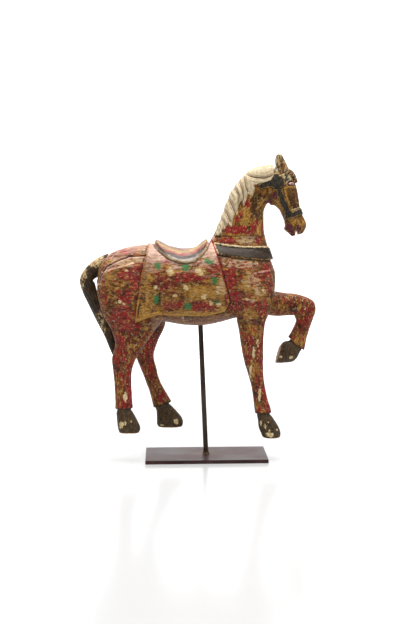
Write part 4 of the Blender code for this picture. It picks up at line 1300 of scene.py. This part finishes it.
def sweep_grid():
    """A floor that turns up behind the object in a quarter circle and goes on as a wall."""
    angle = np.linspace(0, pi / 2, 24)
    y = [FLOOR_FRONT, 0.3, *(SWEEP_BACK + SWEEP_RADIUS * np.sin(angle)), SWEEP_BACK + SWEEP_RADIUS]
    z = [0.0, 0.0, *(SWEEP_RADIUS * (1 - np.cos(angle))), SWEEP_HEIGHT]
    x = np.linspace(-FLOOR_WIDTH / 2, FLOOR_WIDTH / 2, 2)
    return np.array([[(side, depth, height) for side in x] for depth, height in zip(y, z)])


sweep_points = sweep_grid()
rows = len(sweep_points)
sweep_mesh = bpy.data.meshes.new("floor")
sweep_faces = [(2 * row, 2 * row + 1, 2 * row + 3, 2 * row + 2) for row in range(rows - 1)]
sweep_mesh.from_pydata(sweep_points.reshape(-1, 3).tolist(), [], sweep_faces)
sweep_mesh.shade_smooth()
floor_material, floor_tree, floor_shader = start_finish("pale_floor", 0.0, 0.3)
floor_shader.inputs["Base Color"].default_value = (FLOOR_GREY, FLOOR_GREY, FLOOR_GREY, 1)
floor_shader.inputs["Roughness"].default_value = FLOOR_ROUGHNESS
floor_shader.inputs["Emission Color"].default_value = (1, 1, 1, 1)
floor_place = put(floor_tree, "ShaderNodeTexCoord", {}).outputs["Object"]
depth = put(floor_tree, "ShaderNodeSeparateXYZ", {"Vector": floor_place}).outputs["Y"]
floor_glow = between(floor_tree, depth, *GLOW_DEPTHS, *GLOW)
floor_tree.links.new(floor_glow, floor_shader.inputs["Emission Strength"])
sweep_mesh.materials.append(floor_material)
floor = bpy.data.objects.new("floor", sweep_mesh)
bpy.context.scene.collection.objects.link(floor)

for light_name, place, aim, size, power in LIGHTS:
    light = bpy.data.lights.new(light_name, "AREA")
    light.size = size
    light.energy = power
    holder = bpy.data.objects.new(light_name, light)
    holder.location = place
    holder.rotation_euler = (Vector(aim) - Vector(place)).to_track_quat("-Z", "Y").to_euler()
    bpy.context.scene.collection.objects.link(holder)

world = bpy.data.worlds.new("white_surround")
world.use_nodes = True
world.node_tree.nodes["Background"].inputs["Color"].default_value = (1, 1, 1, 1)
world.node_tree.nodes["Background"].inputs["Strength"].default_value = SURROUND
bpy.context.scene.world = world
bpy.context.scene.view_settings.view_transform = "Standard"

# The camera: level with the neck, a little to the rear of the middle, looking slightly down.
CAMERA_PLACE = (-0.067, -1.605, 0.417)
CAMERA_TURN = radians(2.51)
CAMERA_DIP = radians(6.20)
PICTURE_HEIGHT = 624
FOCAL_LENGTH = 987 / PICTURE_HEIGHT
SENSOR_HEIGHT = 36

camera_data = bpy.data.cameras.new("camera")
camera_data.sensor_fit = "VERTICAL"
camera_data.sensor_height = SENSOR_HEIGHT
camera_data.lens = FOCAL_LENGTH * SENSOR_HEIGHT
camera = bpy.data.objects.new("camera", camera_data)
camera.location = CAMERA_PLACE
level = cos(CAMERA_DIP)
look = Vector((sin(CAMERA_TURN) * level, cos(CAMERA_TURN) * level, -sin(CAMERA_DIP)))
camera.rotation_euler = look.to_track_quat("-Z", "Y").to_euler()
bpy.context.scene.collection.objects.link(camera)
bpy.context.scene.camera = camera
